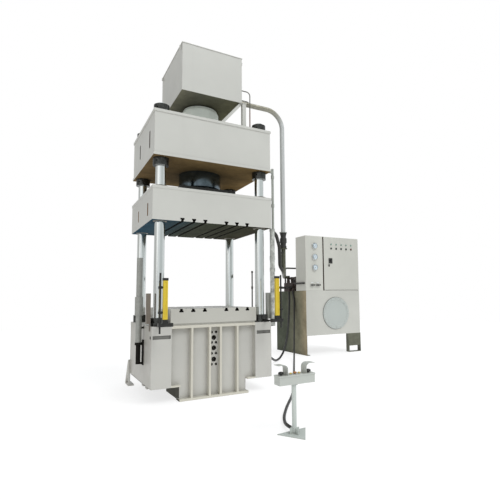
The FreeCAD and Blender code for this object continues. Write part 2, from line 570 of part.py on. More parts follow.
# ------------------------------------------------------------------ guarding in front of the bed
bars, brk = [], []
for g in ("-", ""):
    def bx(a, b, *rest):
        # mirrored across the press for the left side
        return box("-%s" % p(b), "-%s" % p(a), *rest) if g else box(a, b, *rest)
    top = "1595" if g else "1640"
    bars.append(cut(bx("768", "825", "-1131", "-1089", "1108", top), [bx("785", "809", "-1132", "-1126", "1130", top + "-22")]))
    brk.append(fuse([bx("764", "829", "-1135", "-1085", "1064", "1108"), bx("764", "829", "-1135", "-1085", top, top + "+32"),
                     cyl("12", "756", g + "860", "-1109", "934"),
                     bx("838", "882", "-1126", "-1092", "1492", "1524"), bx("838", "882", "-1126", "-1092", "1180", "1212"),
                     bx("825", "845", "-1118", "-1100", "1496", "1520"), bx("825", "845", "-1118", "-1100", "1184", "1208"),
                     bx("700", "882", "-1140", "-1078", "1018", "1064"),
                     bx("775", "811", "-1100", "-735", "1018", "1040"), bx("740", "846", "-761", "-725", "bed_top", "1018")]))
group(bars, "curtain_bars")
group(brk, "curtain_brackets")
sw = []
for g in ("-", ""):
    xa, xb, ya, yb = ("-935", "-bed_hw", "-694", "-622") if g else ("bed_hw", "935", "-646", "-574")
    ca, cb = ("-bed_hw-10", "-bed_hw") if g else ("bed_hw", "bed_hw+10")
    sw.append(cut(fuse([box(xa, xb, ya, yb, "1040", "1440"), box(ca, cb, ya + "+12", yb + "-12", "940", "1046")]),
                  [box(xa + "+6", xb + "-6", ya + "+6", yb + "-6", "1046", "1434"), cyl("12", "20", "-915" if g else "915", "(%s+%s)/2" % (ya, yb), "1030")]))
group(sw, "switch_boxes")
fuse([cyl("10", "777", "690", "-500", "bed_top"), cyl("22", "16", "690", "-500", "bed_top"), cyl("15", "40", "690", "-500", "1500"), cyl("15", "30", "690", "-500", "1750")], "limit_rod")

# ------------------------------------------------------------------ safety prop in its socket on the left end face
turned("safety_prop", [("30", "742"), ("41", "742"), ("41", "1136"), ("56", "1136"), ("56", "1397"), ("41", "1397"), ("41", "1948"), ("30", "1948")],
       x="-952", y="-262")
cut(fuse([cyl("31", "260", "-952", "-262", "470"), cyl("46", "36", "-952", "-262", "730"), box("-952", "-bed_hw", "-292", "-232", "470", "490"), box("-bed_hw-14", "-bed_hw", "-300", "-224", "455", "800"),
          box("-930", "-bed_hw", "-276", "-248", "730", "766"), box("-930", "-bed_hw", "-280", "-244", "955", "980")]), [cyl("41.3", "600", "-952", "-262", "742")], "prop_socket")

# ------------------------------------------------------------------ power unit
X0, X1, Y0, Y1 = "unit_x", "unit_x+unit_w", "unit_y", "unit_y+unit_d"
tank = cut(fuse([box(X0, X1, Y0, Y1, "utank_bot", "utank_top"),
                 box(X0, X0 + "+14", Y0, Y1, "0", "utank_bot+10"), box(X0, X0 + "+90", Y0, Y1, "0", "14"),
                 padded(None, [(X1 + "-418", "utank_bot+10"), (X1 + "+8", "utank_bot+10"), (X1 + "+8", "150"), (X1 + "-350", "150")], "14", y=Y0 + "+14", role="XZ_Plane"),
                 box(X1 + "-6", X1 + "+8", Y0, Y0 + "+120", "0", "utank_bot+10"),
                 box(X1 + "-360", X1 + "+8", Y0, Y0 + "+120", "0", "14"), box(X1 + "-360", X1 + "-346", Y0, Y0 + "+120", "0", "utank_bot+10"),
                 box(X0 + "+362", X0 + "+712", Y1 + "-300", Y1, "0", "14"), box(X0 + "+530", X0 + "+544", Y1 + "-300", Y1, "0", "utank_bot+10")]),
           [box(X0 + "+14", X1 + "-10", Y0 + "+10", Y1 + "-10", "utank_bot+10", "utank_top-12"),
            cyl("man_rad-75", "40", "man_x", "unit_y-10", "man_z", "Y")] +
           [cyl("8.2", "30", "man_x+(man_rad-38)*%.6f" % math.cos(math.radians(22.5 * k)), "unit_y-10", "man_z+(man_rad-38)*%.6f" % math.sin(math.radians(22.5 * k)), "Y")
            for k in range(16)], "unit_tank")
cover = turned(None, [("0", "0"), ("man_rad-78", "0"), ("man_rad-78", "8"), ("man_rad", "8"), ("man_rad", "26"), ("man_rad-6", "32"), ("man_rad-66", "32"),
                      ("man_rad-78", "24"), ("0", "24")], x="man_x", y="unit_y+8", z="man_z", axis="-Y")
holes, heads = [], []
for k in range(16):
    c, s_ = math.cos(math.radians(22.5 * k)), math.sin(math.radians(22.5 * k))
    X, Z = "man_x+(man_rad-38)*%.6f" % c, "man_z+(man_rad-38)*%.6f" % s_
    holes.append(cyl("8.2", "80", X, "unit_y-40", Z, "Y"))
    heads.append(fuse([cyl("8", "34", X, "unit_y-26", Z, "Y"), hexa("13", "8", X, "unit_y-32", Z, "Y")]))
cut(cover, holes, "manhole_cover")
group(heads, "manhole_bolts")
# cabinet: shell with a fixed gauge panel on the left and a door opening on the right
zc = "utank_top"
shell = cut(fuse([box(X0, X1, Y0 + "+door_t+0.5", Y0 + "+cab_d", zc, "cab_top"), box(X0, "door_x-34", Y0, Y0 + "+door_t+1", zc, "cab_top"),
                  box("door_x-36", X1, Y0 + "+10", Y0 + "+door_t+1", zc, zc + "+10")]),
            [box(X0 + "+6", "door_x-20", Y0 + "+6", Y0 + "+cab_d-6", zc + "+6", "cab_top-6"),
             box("door_x-14", X1 + "-6", Y0 + "+door_t+20", Y0 + "+cab_d-6", zc + "+6", "cab_top-6"),
             box("door_x+24", X1 + "-30", Y0 + "-1", Y0 + "+door_t+30", zc + "+30", "cab_top-30")] +
            [cyl("18", "20", "gauge_x", "unit_y-5", str(z), "Y") for z in (2586, 2319, 2066)] +
            [cyl("8+run_gap", "40", str(x), "unit_y-5", "1646", "Y") for x in (3417, 3574)], "cabinet_shell")
door = cut(box("door_x", X1 + "-2", "unit_y", "unit_y+door_t", zc + "+14", "cab_top-4"),
           [box("door_x+22", X1 + "-26", "unit_y+4", "unit_y+door_t+1", zc + "+36", "cab_top-28")] +
           [cyl("11+run_gap", "20", "lamp_x+lamp_dx*%d" % k, "unit_y-5", "but_z", "Y") for k in range(5)] +
           [cyl("9", "20", "lamp_x+lamp_dx*%d" % k, "unit_y-5", "lamp_z", "Y") for k in range(5)] +
           [cyl("9+run_gap", "20", "3965", "unit_y-5", "2250", "Y")], "cabinet_door")
fit = []
for k in range(5):
    fit.append(turned(None, [("0", "-14"), ("9", "-14"), ("9", "0"), ("17", "0"), ("17", "8"), ("13", "13"), ("13", "20"), ("6", "26"), ("0", "27")],
                      x="lamp_x+lamp_dx*%d" % k, y="unit_y", z="lamp_z", axis="-Y"))
    fit.append(ring("25", "19", "6", "lamp_x+lamp_dx*%d" % k, "unit_y-6", "but_z", "Y"))
fit.append(cut(box("3965-56", "3965+56", "unit_y-7", "unit_y", "2250-72", "2250+56"), [cyl("9+run_gap", "40", "3965", "unit_y-20", "2250", "Y")]))
group(fit, "door_fittings")
for k, nm in enumerate("abcde"):
    turned("push_button_" + nm, [("0", "-22"), ("11", "-22"), ("11", "6"), ("17", "6"), ("17", "15"), ("15", "17"), ("0", "17")],
           x="lamp_x+lamp_dx*%d" % k, y="unit_y", z="but_z", axis="-Y")
fuse([cyl("9", "50", "3965", "unit_y-22", "2250", "Y"), cyl("24", "14", "3965", "unit_y-22", "2250", "Y"), box("3957", "3973", "unit_y-38", "unit_y-20", "2224", "2276")], "rotary_switch")
for nm, x in (("knob_left", "3417"), ("knob_right", "3574")):
    fuse([cyl("8", "34", x, "unit_y-26", "1646", "Y"), cyl("17", "14", x, "unit_y-22", "1646", "Y"), box(x + "-50", x + "+50", "unit_y-44", "unit_y-20", "1635", "1657"),
          cyl("15", "26", x + "-46", "unit_y-45", "1646", "Y"), cyl("15", "26", x + "+46", "unit_y-45", "1646", "Y")], nm)
group([turned(None, [("0", "-10"), ("18", "-10"), ("18", "0"), ("gauge_rad+8", "0"), ("gauge_rad+8", "4"), ("gauge_rad", "4"), ("gauge_rad", "38"), ("gauge_rad-4", "42"),
                     ("gauge_rad-8", "42"), ("gauge_rad-8", "36"), ("0", "36")], x="gauge_x", y="unit_y", z=str(z), axis="-Y") for z in (2586, 2319, 2066)], "gauge_cases")
# motor, bell housing and pump on the tank top behind the cabinet
fuse([cyl("165", "470", "4080", "2930", "utank_top+215", "X"), cyl("150", "70", "4550", "2930", "utank_top+215", "X"), cyl("28", "108", "3982", "2930", "utank_top+215", "X"),
      box("4120", "4180", "2780", "3080", "utank_top", "utank_top+100"), box("4440", "4500", "2780", "3080", "utank_top", "utank_top+100"),
      box("4220", "4400", "2860", "3000", "utank_top+360", "utank_top+440")], "pump_motor")
fuse([ring("150", "100", "100", "3980", "2930", "utank_top+215", "X"), cyl("150", "16", "3964", "2930", "utank_top+215", "X"), cyl("85", "230", "3734", "2930", "utank_top+215", "X"),
      cyl("60", "30", "3704", "2930", "utank_top+215", "X"), cyl("34", "190", "3820", "2930", "utank_top"), box("3985", "4060", "2840", "3020", "utank_top", "utank_top+80")], "hydraulic_pump")
# elbows for the free hose and cable
port_h = feature(swept([(3262, 2600, 1546), (3157, 2600, 1546), (3157, 2600, 1500)], 28, [34])[0], None)
port_c = feature(swept([(3264, 2490, 1570), (3196, 2490, 1570), (3196, 2490, 1520)], 23, [28])[0], None)
fuse([box("3258", "3400", "2470", "3030", "utank_top", "utank_top+210"), box("3222", "3258", "2540", "2960", "utank_top+40", "utank_top+170"),
      cyl("44", "60", "3290", "2860", "utank_top+210"), box("3262", "3318", "2832", "2888", "utank_top+262", "utank_top+392"),
      cyl("29", "440", "3330", "2520", "1842", "Y"), port_h, port_c, box("3300", "3360", "2500", "2560", "utank_top+210", "1872"), box("3300", "3360", "2700", "2760", "utank_top+210", "1872")], "valve_manifold")
coils = []
for y in (2580, 2690, 2800, 2910):
    coils.append(fuse([box("3130", "3222", str(y - 26), str(y + 26), "utank_top+62", "utank_top+114"), cyl("20", "46", "3086", str(y), "utank_top+88", "X")]))
coils.append(fuse([cyl("34", "70", "3330", "2640", "utank_top+210"), hexa("26", "14", "3330", "2640", "utank_top+280")]))
group(coils, "valve_coils")

# ------------------------------------------------------------------ two-hand control stand
plate = padded(None, [("-44", "-2626"), ("317", "-2588"), ("118", "-2901")], "8", role="XY_Plane")
fuse([plate, cyl("post_rad", "ped_bot-8", "124", "-2686", "8"), box("96", "152", "-2714", "-2658", "ped_bot-12", "ped_bot"),
      box("120", "128", "-2760", "-2690", "8", "60"), box("70", "178", "-2690", "-2682", "8", "60"),
      cyl("20", "46", "124", "-2686", "44", "Y")], "pedestal_stand")
bxs = [box("ped_x", "ped_x+ped_w", "ped_y", "ped_y+ped_d", "ped_bot", "ped_top"),
       box("ped_x-4", "ped_x+ped_w+4", "ped_y-4", "ped_y+ped_d+4", "ped_top-12", "ped_top+2")]
for g, xw in ((-1, 36), (1, 252)):
    # upright guard wall that curls outwards over the palm button
    n = 9
    o, i_ = [], []
    cx = xw + g * 50
    for k in range(n):
        a = math.pi / 2 * k / (n - 1)
        o.append((cx - g * 50 * math.cos(a), 650 + 42 * math.sin(a)))
        i_.append((cx - g * 47 * math.cos(a), 650 + 39 * math.sin(a)))
    end = cx + g * 58
    pts = [(xw, 585)] + o + [(end, 690), (end, 687)] + i_[::-1] + [(xw + g * 3, 585)]
    seen, out = None, []
    for a, b in pts:
        out.append(("%.3f" % a, "%.3f" % b))
    bxs.append(padded(None, out, "ped_d-12", y="ped_y+ped_d-6", role="XZ_Plane"))
px = {"palm_left": "-18", "palm_right": "306", "stop_button": "145", "stand_button_a": "95", "stand_button_b": "195"}
sr = {"palm_left": "10", "palm_right": "10", "stop_button": "8", "stand_button_a": "6", "stand_button_b": "6"}
pm = "ped_y+ped_d/2"
cut(fuse(bxs), [box("ped_x+3", "ped_x+ped_w-3", "ped_y+3", "ped_y+ped_d-3", "ped_bot+3", "ped_top-3")] +
    [cyl(sr[k] + "+run_gap", "30", px[k], pm, "ped_top-15") for k in px], "pedestal_box")
for k in ("palm_left", "palm_right"):
    turned(k, [("0", "-24"), ("10", "-24"), ("10", "12"), ("27", "12"), ("29", "18"), ("28", "26"), ("22", "33"), ("12", "37"), ("0", "38")], x=px[k], y=pm, z="ped_top")
turned("stop_button", [("0", "-22"), ("8", "-22"), ("8", "10"), ("18", "10"), ("20", "14"), ("19", "20"), ("13", "24"), ("0", "26")], x=px["stop_button"], y=pm, z="ped_top")
for k in ("stand_button_a", "stand_button_b"):
    turned(k, [("0", "-20"), ("6", "-20"), ("6", "8"), ("13", "8"), ("13", "15"), ("11", "17"), ("0", "17")], x=px[k], y=pm, z="ped_top")

# ------------------------------------------------------------------ free hose and cable
HOSE = [(3157, 2600, 1500), (3157, 2600, 1445), (3156, 2588, 1385), (3142, 2561, 1281), (3117, 2529, 1166), (3085, 2488, 1039), (3047, 2438, 903),
        (3002, 2382, 762), (2950, 2319, 619), (2890, 2250, 479), (2821, 2176, 346), (2739, 2099, 227), (2646, 2014, 129), (2539, 1921, 62), (2430, 1809, 27),
        (2316, 1677, 27), (2185, 1526, 33), (2043, 1349, 82), (1886, 1157, 154), (1719, 965, 235), (1548, 785, 314), (1380, 632, 384), (1222, 515, 439),
        (1081, 440, 475), (965, 408, 490), (883, 408, 490)]
CABLE = [(3196, 2490, 1520), (3196, 2490, 1465), (3208, 2475, 1391), (3215, 2455, 1301), (3204, 2435, 1195), (3186, 2410, 1078), (3163, 2376, 952),
         (3133, 2331, 821), (3096, 2273, 688), (3050, 2201, 559), (2995, 2113, 436), (2928, 2006, 325), (2850, 1879, 229), (2761, 1732, 150), (2660, 1565, 91),
         (2547, 1379, 50), (2424, 1174, 27), (2291, 953, 19), (2151, 718, 19), (2004, 473, 19), (1852, 219, 19), (1698, -38, 19), (1543, -296, 19),
         (1389, -551, 19), (1237, -799, 19), (1091, -1039, 19), (942, -1263, 19), (793, -1469, 19), (649, -1659, 19), (518, -1837, 19), (404, -2002, 19),
         (306, -2152, 19), (231, -2288, 22), (175, -2407, 29), (140, -2507, 38), (124, -2585, 44), (124, -2640, 44)]
for pts, r, nm in ((HOSE, 23, "ejector_hose"), (CABLE, 18, "pedestal_cable")):
    s, ln, rr = swept(pts, r)
    print(nm, "length %.0f" % ln, "radii", rr, "least", min(rr), "diameters %.1f" % (min(rr) / (2 * r)))
    feature(s, nm)

doc.recompute()

NODES = """bed_weldment bolster_plate column_front_left column_front_right column_rear_left column_rear_right end_nuts inner_nuts crown_weldment
cylinder_barrel gland_ring gland_bolts main_ram ram_plate ram_bolts slide_weldment guide_bushes ejector_barrel ejector_rod top_tank top_tank_lid
top_tank_supports return_pipe pipe_sleeve corner_pipe control_pipes curtain_bars curtain_brackets switch_boxes limit_rod safety_prop prop_socket
unit_tank manhole_cover manhole_bolts cabinet_shell cabinet_door door_fittings rotary_switch push_button_a push_button_b push_button_c push_button_d
push_button_e knob_left knob_right gauge_cases pump_motor hydraulic_pump valve_manifold valve_coils pedestal_stand pedestal_box palm_left palm_right
stop_button stand_button_a stand_button_b ejector_hose pedestal_cable""".split()

bad = [o.Name + " " + str(o.State) for o in doc.Objects if "Invalid" in o.State or "Error" in o.State]
for n in NODES:
    o = doc.getObject(n)
    if o is None or o.Shape.isNull() or not o.Shape.isValid():
        bad.append(n + " shape")
if bad:
    raise SystemExit("not built: " + "; ".join(bad))
os.makedirs("parts", exist_ok=True)
for n in NODES:
    o = doc.getObject(n)
    o.Label = n
    o.Shape.exportStep("parts/%s.step" % n)
    b = o.Shape.BoundBox
    print("%-20s solids %2d  vol %.4f m3  box %.0f..%.0f %.0f..%.0f %.0f..%.0f" % (n, len(o.Shape.Solids), o.Shape.Volume / 1e9, b.XMin, b.XMax, b.YMin, b.YMax, b.ZMin, b.ZMax))
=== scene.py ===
import bpy, bmesh, math, json
from mathutils import Vector, Matrix


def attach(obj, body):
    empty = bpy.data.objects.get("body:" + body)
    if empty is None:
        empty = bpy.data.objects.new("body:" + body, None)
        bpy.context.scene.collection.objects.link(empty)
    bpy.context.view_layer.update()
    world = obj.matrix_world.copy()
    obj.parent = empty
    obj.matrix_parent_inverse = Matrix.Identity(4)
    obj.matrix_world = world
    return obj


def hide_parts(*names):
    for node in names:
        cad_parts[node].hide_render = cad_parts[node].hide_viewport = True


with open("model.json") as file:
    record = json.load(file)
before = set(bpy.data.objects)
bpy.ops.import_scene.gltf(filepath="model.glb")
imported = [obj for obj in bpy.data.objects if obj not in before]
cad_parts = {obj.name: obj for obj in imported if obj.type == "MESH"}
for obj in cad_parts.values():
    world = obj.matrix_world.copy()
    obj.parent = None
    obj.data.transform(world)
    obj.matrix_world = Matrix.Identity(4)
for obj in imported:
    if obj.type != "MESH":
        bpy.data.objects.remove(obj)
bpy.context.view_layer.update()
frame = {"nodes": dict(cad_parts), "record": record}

NODES = frame["nodes"]
BODY_OF = {n: b for b, ns in frame["record"]["behaviour"]["bodies"].items() for n in ns}
SLOT_OF = {s["node"]: s["material_slot"] for s in frame["record"]["subparts"]}
R = math.radians


# ---------------------------------------------------------------- camera
def camera():
    yaw, pit, rol = R(29.83), R(5.57), R(-0.73)
    f0 = Vector((math.sin(yaw), math.cos(yaw), 0))
    rt = Vector((math.cos(yaw), -math.sin(yaw), 0))
    fw = f0 * math.cos(pit) + Vector((0, 0, 1)) * math.sin(pit)
    up = -f0 * math.sin(pit) + Vector((0, 0, 1)) * math.cos(pit)
    r2 = rt * math.cos(rol) + up * math.sin(rol)
    u2 = -rt * math.sin(rol) + up * math.cos(rol)
    data = bpy.data.cameras.new("camera")
    data.sensor_width = 36.0
    data.lens = 36.0 * 420.2 / 500.0
    data.shift_x = -0.0722
    data.shift_y = 0.012
    data.clip_end = 200
    cam = bpy.data.objects.new("camera", data)
    bpy.context.scene.collection.objects.link(cam)
    m = Matrix((r2, u2, -fw)).transposed().to_4x4()
    m.translation = Vector((-2.108, -6.454, 1.370))
    cam.matrix_world = m
    bpy.context.scene.camera = cam


camera()


# ---------------------------------------------------------------- free hose and cable
HOSE = [(3.157, 2.600, 1.500), (3.157, 2.600, 1.445), (3.156, 2.588, 1.385), (3.142, 2.561, 1.281), (3.117, 2.529, 1.166),
        (3.085, 2.488, 1.039), (3.047, 2.438, 0.903), (3.002, 2.382, 0.762), (2.950, 2.319, 0.619), (2.890, 2.250, 0.479),
        (2.821, 2.176, 0.346), (2.739, 2.099, 0.227), (2.646, 2.014, 0.129), (2.539, 1.921, 0.062), (2.430, 1.809, 0.027),
        (2.316, 1.677, 0.027), (2.185, 1.526, 0.033), (2.043, 1.349, 0.082), (1.886, 1.157, 0.154), (1.719, 0.965, 0.235),
        (1.548, 0.785, 0.314), (1.380, 0.632, 0.384), (1.222, 0.515, 0.439), (1.081, 0.440, 0.475), (0.965, 0.408, 0.490),
        (0.883, 0.408, 0.490)]
CABLE = [(3.196, 2.490, 1.520), (3.196, 2.490, 1.465), (3.208, 2.475, 1.391), (3.215, 2.455, 1.301), (3.204, 2.435, 1.195),
         (3.186, 2.410, 1.078), (3.163, 2.376, 0.952), (3.133, 2.331, 0.821), (3.096, 2.273, 0.688), (3.050, 2.201, 0.559),
         (2.995, 2.113, 0.436), (2.928, 2.006, 0.325), (2.850, 1.879, 0.229), (2.761, 1.732, 0.150), (2.660, 1.565, 0.091),
         (2.547, 1.379, 0.050), (2.424, 1.174, 0.027), (2.291, 0.953, 0.019), (2.151, 0.718, 0.019), (2.004, 0.473, 0.019),
         (1.852, 0.219, 0.019), (1.698, -0.038, 0.019), (1.543, -0.296, 0.019), (1.389, -0.551, 0.019), (1.237, -0.799, 0.019),
         (1.091, -1.039, 0.019), (0.942, -1.263, 0.019), (0.793, -1.469, 0.019), (0.649, -1.659, 0.019), (0.518, -1.837, 0.019),
         (0.404, -2.002, 0.019), (0.306, -2.152, 0.019), (0.231, -2.288, 0.022), (0.175, -2.407, 0.029), (0.140, -2.507, 0.038),
         (0.124, -2.585, 0.044), (0.124, -2.640, 0.044)]


def cord(name, pts, r, node):
    cu = bpy.data.curves.new(name, "CURVE")
    cu.dimensions = "3D"
    sp = cu.splines.new("NURBS")
    sp.points.add(len(pts) - 1)
    for k, q in enumerate(pts):
        sp.points[k].co = (*q, 1.0)
        sp.points[k].radius = r
    sp.order_u = 3
    sp.use_endpoint_u = True
    sp.resolution_u = 6
    cu.bevel_depth = 1.0        # scaled by each point's radius
    cu.bevel_resolution = 5
    cu.use_fill_caps = True
    ob = bpy.data.objects.new(name, cu)
    bpy.context.scene.collection.objects.link(ob)
    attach(ob, "frame")
    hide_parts(node)
    return ob


hose = cord("ejector_hose_run", HOSE, 0.023, "ejector_hose")
cable = cord("pedestal_cable_run", CABLE, 0.018, "pedestal_cable")


# ---------------------------------------------------------------- material kit
class Mat:
    """Small helper around one node tree; object coordinates are metres in the row frame."""

    def __init__(self, name):
        self.m = bpy.data.materials.new(name)
        self.m.use_nodes = True
        self.nt = self.m.node_tree
        self.b = self.nt.nodes["Principled BSDF"]
        self.co = self.n("ShaderNodeTexCoord").outputs["Object"]
        self.geo = self.n("ShaderNodeNewGeometry")

    def n(self, kind, **kw):
        x = self.nt.nodes.new(kind)
        for k, v in kw.items():
            setattr(x, k, v)
        return x

    def link(self, a, b):
        self.nt.links.new(a, b)

    def put(self, sock, v):
        if hasattr(v, "links") or isinstance(v, bpy.types.NodeSocket):
            self.link(v, sock)
        else:
            sock.default_value = v if not isinstance(v, tuple) or len(v) != 3 or sock.type != "RGBA" else (*v, 1)

    def noise(self, scale, detail=3.0, rough=0.5, vec=None, stretch=None):
        v = vec or self.co
        if stretch:
            mp = self.n("ShaderNodeMapping")
            mp.inputs["Scale"].default_value = stretch
            self.link(v, mp.inputs["Vector"])
            v = mp.outputs["Vector"]
        x = self.n("ShaderNodeTexNoise")
        x.inputs["Scale"].default_value = scale
        x.inputs["Detail"].default_value = detail
        x.inputs["Roughness"].default_value = rough
        self.link(v, x.inputs["Vector"])
        return x.outputs["Fac"]

    def ramp(self, fac, stops):
        x = self.n("ShaderNodeValToRGB")
        el = x.color_ramp.elements
        while len(el) < len(stops):
            el.new(0.5)
        for e, (p, c) in zip(el, stops):
            e.position = p
            e.color = (c, c, c, 1) if not isinstance(c, (tuple, list)) else (*c, 1)
        self.link(fac, x.inputs["Fac"])
        return x.outputs["Color"]

    def maprange(self, v, a, b, c, d):
        x = self.n("ShaderNodeMapRange")
        for i, q in ((1, a), (2, b), (3, c), (4, d)):
            x.inputs[i].default_value = q
        self.link(v, x.inputs[0])
        return x.outputs[0]

    def mix(self, fac, a, b, mode="MIX"):
        x = self.n("ShaderNodeMix", data_type="RGBA", blend_type=mode)
        self.put(x.inputs[0], fac)
        self.put(x.inputs[6], a)
        self.put(x.inputs[7], b)
        return x.outputs[2]

    def math(self, op, a, b=0.0):
        x = self.n("ShaderNodeMath", operation=op)
        self.put(x.inputs[0], a)
        self.put(x.inputs[1], b)
        return x.outputs[0]

    def sep(self, v):
        x = self.n("ShaderNodeSeparateXYZ")
        self.link(v, x.inputs[0])
        return x.outputs

    def bump(self, h, strength=0.2, dist=0.001, prev=None):
        x = self.n("ShaderNodeBump")
        x.inputs["Strength"].default_value = strength
        x.inputs["Distance"].default_value = dist
        self.link(h, x.inputs["Height"])
        if prev is not None:
            self.link(prev, x.inputs["Normal"])
        return x.outputs["Normal"]

    def out(self, color=None, rough=None, metal=None, normal=None, **kw):
        for name, v in (("Base Color", color), ("Roughness", rough), ("Metallic", metal), ("Normal", normal)):
            if v is not None:
                self.put(self.b.inputs[name], v)
        for k, v in kw.items():
            self.b.inputs[k.replace("_", " ")].default_value = v
        return self.m


def s2l(r, g, b):
    f = lambda c: (c / 255 / 12.92) if c <= 10.31 else ((c / 255 + 0.055) / 1.055) ** 2.4
    return (f(r), f(g), f(b))


def paint(name, base, rough=0.42, soil_shade_color=(0.19, 0.17, 0.13), soil_shade_amt=0.55, variation=0.05, ao_dist=0.10, stain=0.25, low=None, patch=None):
    """Sprayed machine enamel: slow tone drift, fine orange peel, oily dust and painted shade gathered in the corners.
    """
    k = Mat(name)
    c1 = tuple(v * (1 - variation) for v in base)
    c2 = tuple(min(1, v * (1 + variation * 0.7)) for v in base)
    col = k.mix(k.maprange(k.noise(0.9, 4, 0.55), 0.35, 0.65, 0, 1), c1, c2)
    # faint vertical run marks and handling scuffs
    run = k.maprange(k.noise(9.0, 4, 0.6, stretch=(1, 1, 0.12)), 0.58, 0.78, 0, 0.16 * stain / 0.25)
    col = k.mix(run, col, tuple(v * 0.86 for v in base))
    scuff = k.maprange(k.noise(34.0, 5, 0.7), 0.66, 0.8, 0, 0.22)
    col = k.mix(scuff, col, tuple(v * 0.8 for v in base))
    # oily dust and painted shade: close to other parts the colour drifts to a dark brown, patchy with noise
    ao = k.n("ShaderNodeAmbientOcclusion", samples=6)
    ao.inputs["Distance"].default_value = ao_dist
    soil_shade_mask = k.math("MULTIPLY", k.maprange(ao.outputs["AO"], 0.25, 0.9, 1, 0), k.maprange(k.noise(14, 5, 0.65), 0.3, 0.7, 0.35, 1.0))
    col = k.mix(k.math("MULTIPLY", soil_shade_mask, soil_shade_amt), col, soil_shade_color)
    if low:
        tone = k.mix(k.maprange(k.noise(11, 4, 0.6), 0.3, 0.7, 0, 1), low[1], tuple(v * 0.66 for v in low[1]))
        col = k.mix(k.maprange(k.sep(k.co)[2], low[0] + 0.002, low[0] - 0.002, 0, 1), col, tone)
    # a flat colour inside an x-y box: painted highlight on the bed's rib fronts, painted shade in the cabinet door's
    # gap, a paler grey for grey_box parts
    if patch:
        px, py, pz = k.sep(k.co)
        inside = k.math("MULTIPLY", k.math("GREATER_THAN", px, patch[0]), k.math("LESS_THAN", px, patch[1]))
        inside = k.math("MULTIPLY", inside, k.math("MULTIPLY", k.math("GREATER_THAN", py, patch[2]), k.math("LESS_THAN", py, patch[3])))
        col = k.mix(k.math("MULTIPLY", inside, patch[5]), col, patch[4])
    rg = k.maprange(k.noise(5, 3), 0.3, 0.7, rough - 0.05, rough + 0.07)
    nrm = k.bump(k.noise(420, 2, 0.5), 0.05, 0.0006)
    nrm = k.bump(k.noise(7, 3, 0.5), 0.06, 0.004, nrm)
    return k.out(col, rg, None, nrm, Specular_IOR_Level=0.42, Coat_Weight=0.12, Coat_Roughness=0.25)


def chrome(name, base, streak=0.04, rough=0.09):
    """Ground and hard chromed bar: faint grinding rings round it and a thin oil film."""
    k = Mat(name)
    g = k.noise(900, 2, 0.6, stretch=(0.02, 0.02, 1.0))
    film = k.noise(2.2, 4, 0.6, stretch=(1, 1, 0.5))
    col = k.mix(k.maprange(film, 0.35, 0.7, 0, 1), base, tuple(v * 0.86 for v in base))
    rg = k.math("ADD", k.maprange(g, 0.3, 0.7, rough - streak / 2, rough + streak), k.maprange(film, 0.4, 0.75, 0, 0.06))
    return k.out(col, rg, 1.0, k.bump(g, 0.03, 0.0003))


def metal(name, base, rough=0.35, var=0.25, metallic=1.0, scale=30, bump=0.08):
    k = Mat(name)
    nz = k.noise(scale, 5, 0.65)
    col = k.mix(k.maprange(nz, 0.3, 0.72, 0, 1), tuple(v * (1 - var) for v in base), tuple(min(1, v * (1 + var)) for v in base))
    rg = k.maprange(k.noise(scale * 2.3, 4), 0.3, 0.7, rough - 0.08, rough + 0.1)
    return k.out(col, rg, metallic, k.bump(nz, bump, 0.001))


def plastic(name, base, rough=0.4, var=0.12, spec=0.5, coat=0.0, grain=900):
    k = Mat(name)
    nz = k.noise(6, 4, 0.6)
    col = k.mix(k.maprange(nz, 0.3, 0.7, 0, 1), tuple(v * (1 - var) for v in base), tuple(min(1, v * (1 + var)) for v in base))
    rg = k.maprange(k.noise(40, 3), 0.3, 0.7, rough - 0.06, rough + 0.06)
    return k.out(col, rg, None, k.bump(k.noise(grain, 2), 0.08, 0.0004), Specular_IOR_Level=spec, Coat_Weight=coat, Coat_Roughness=0.15)


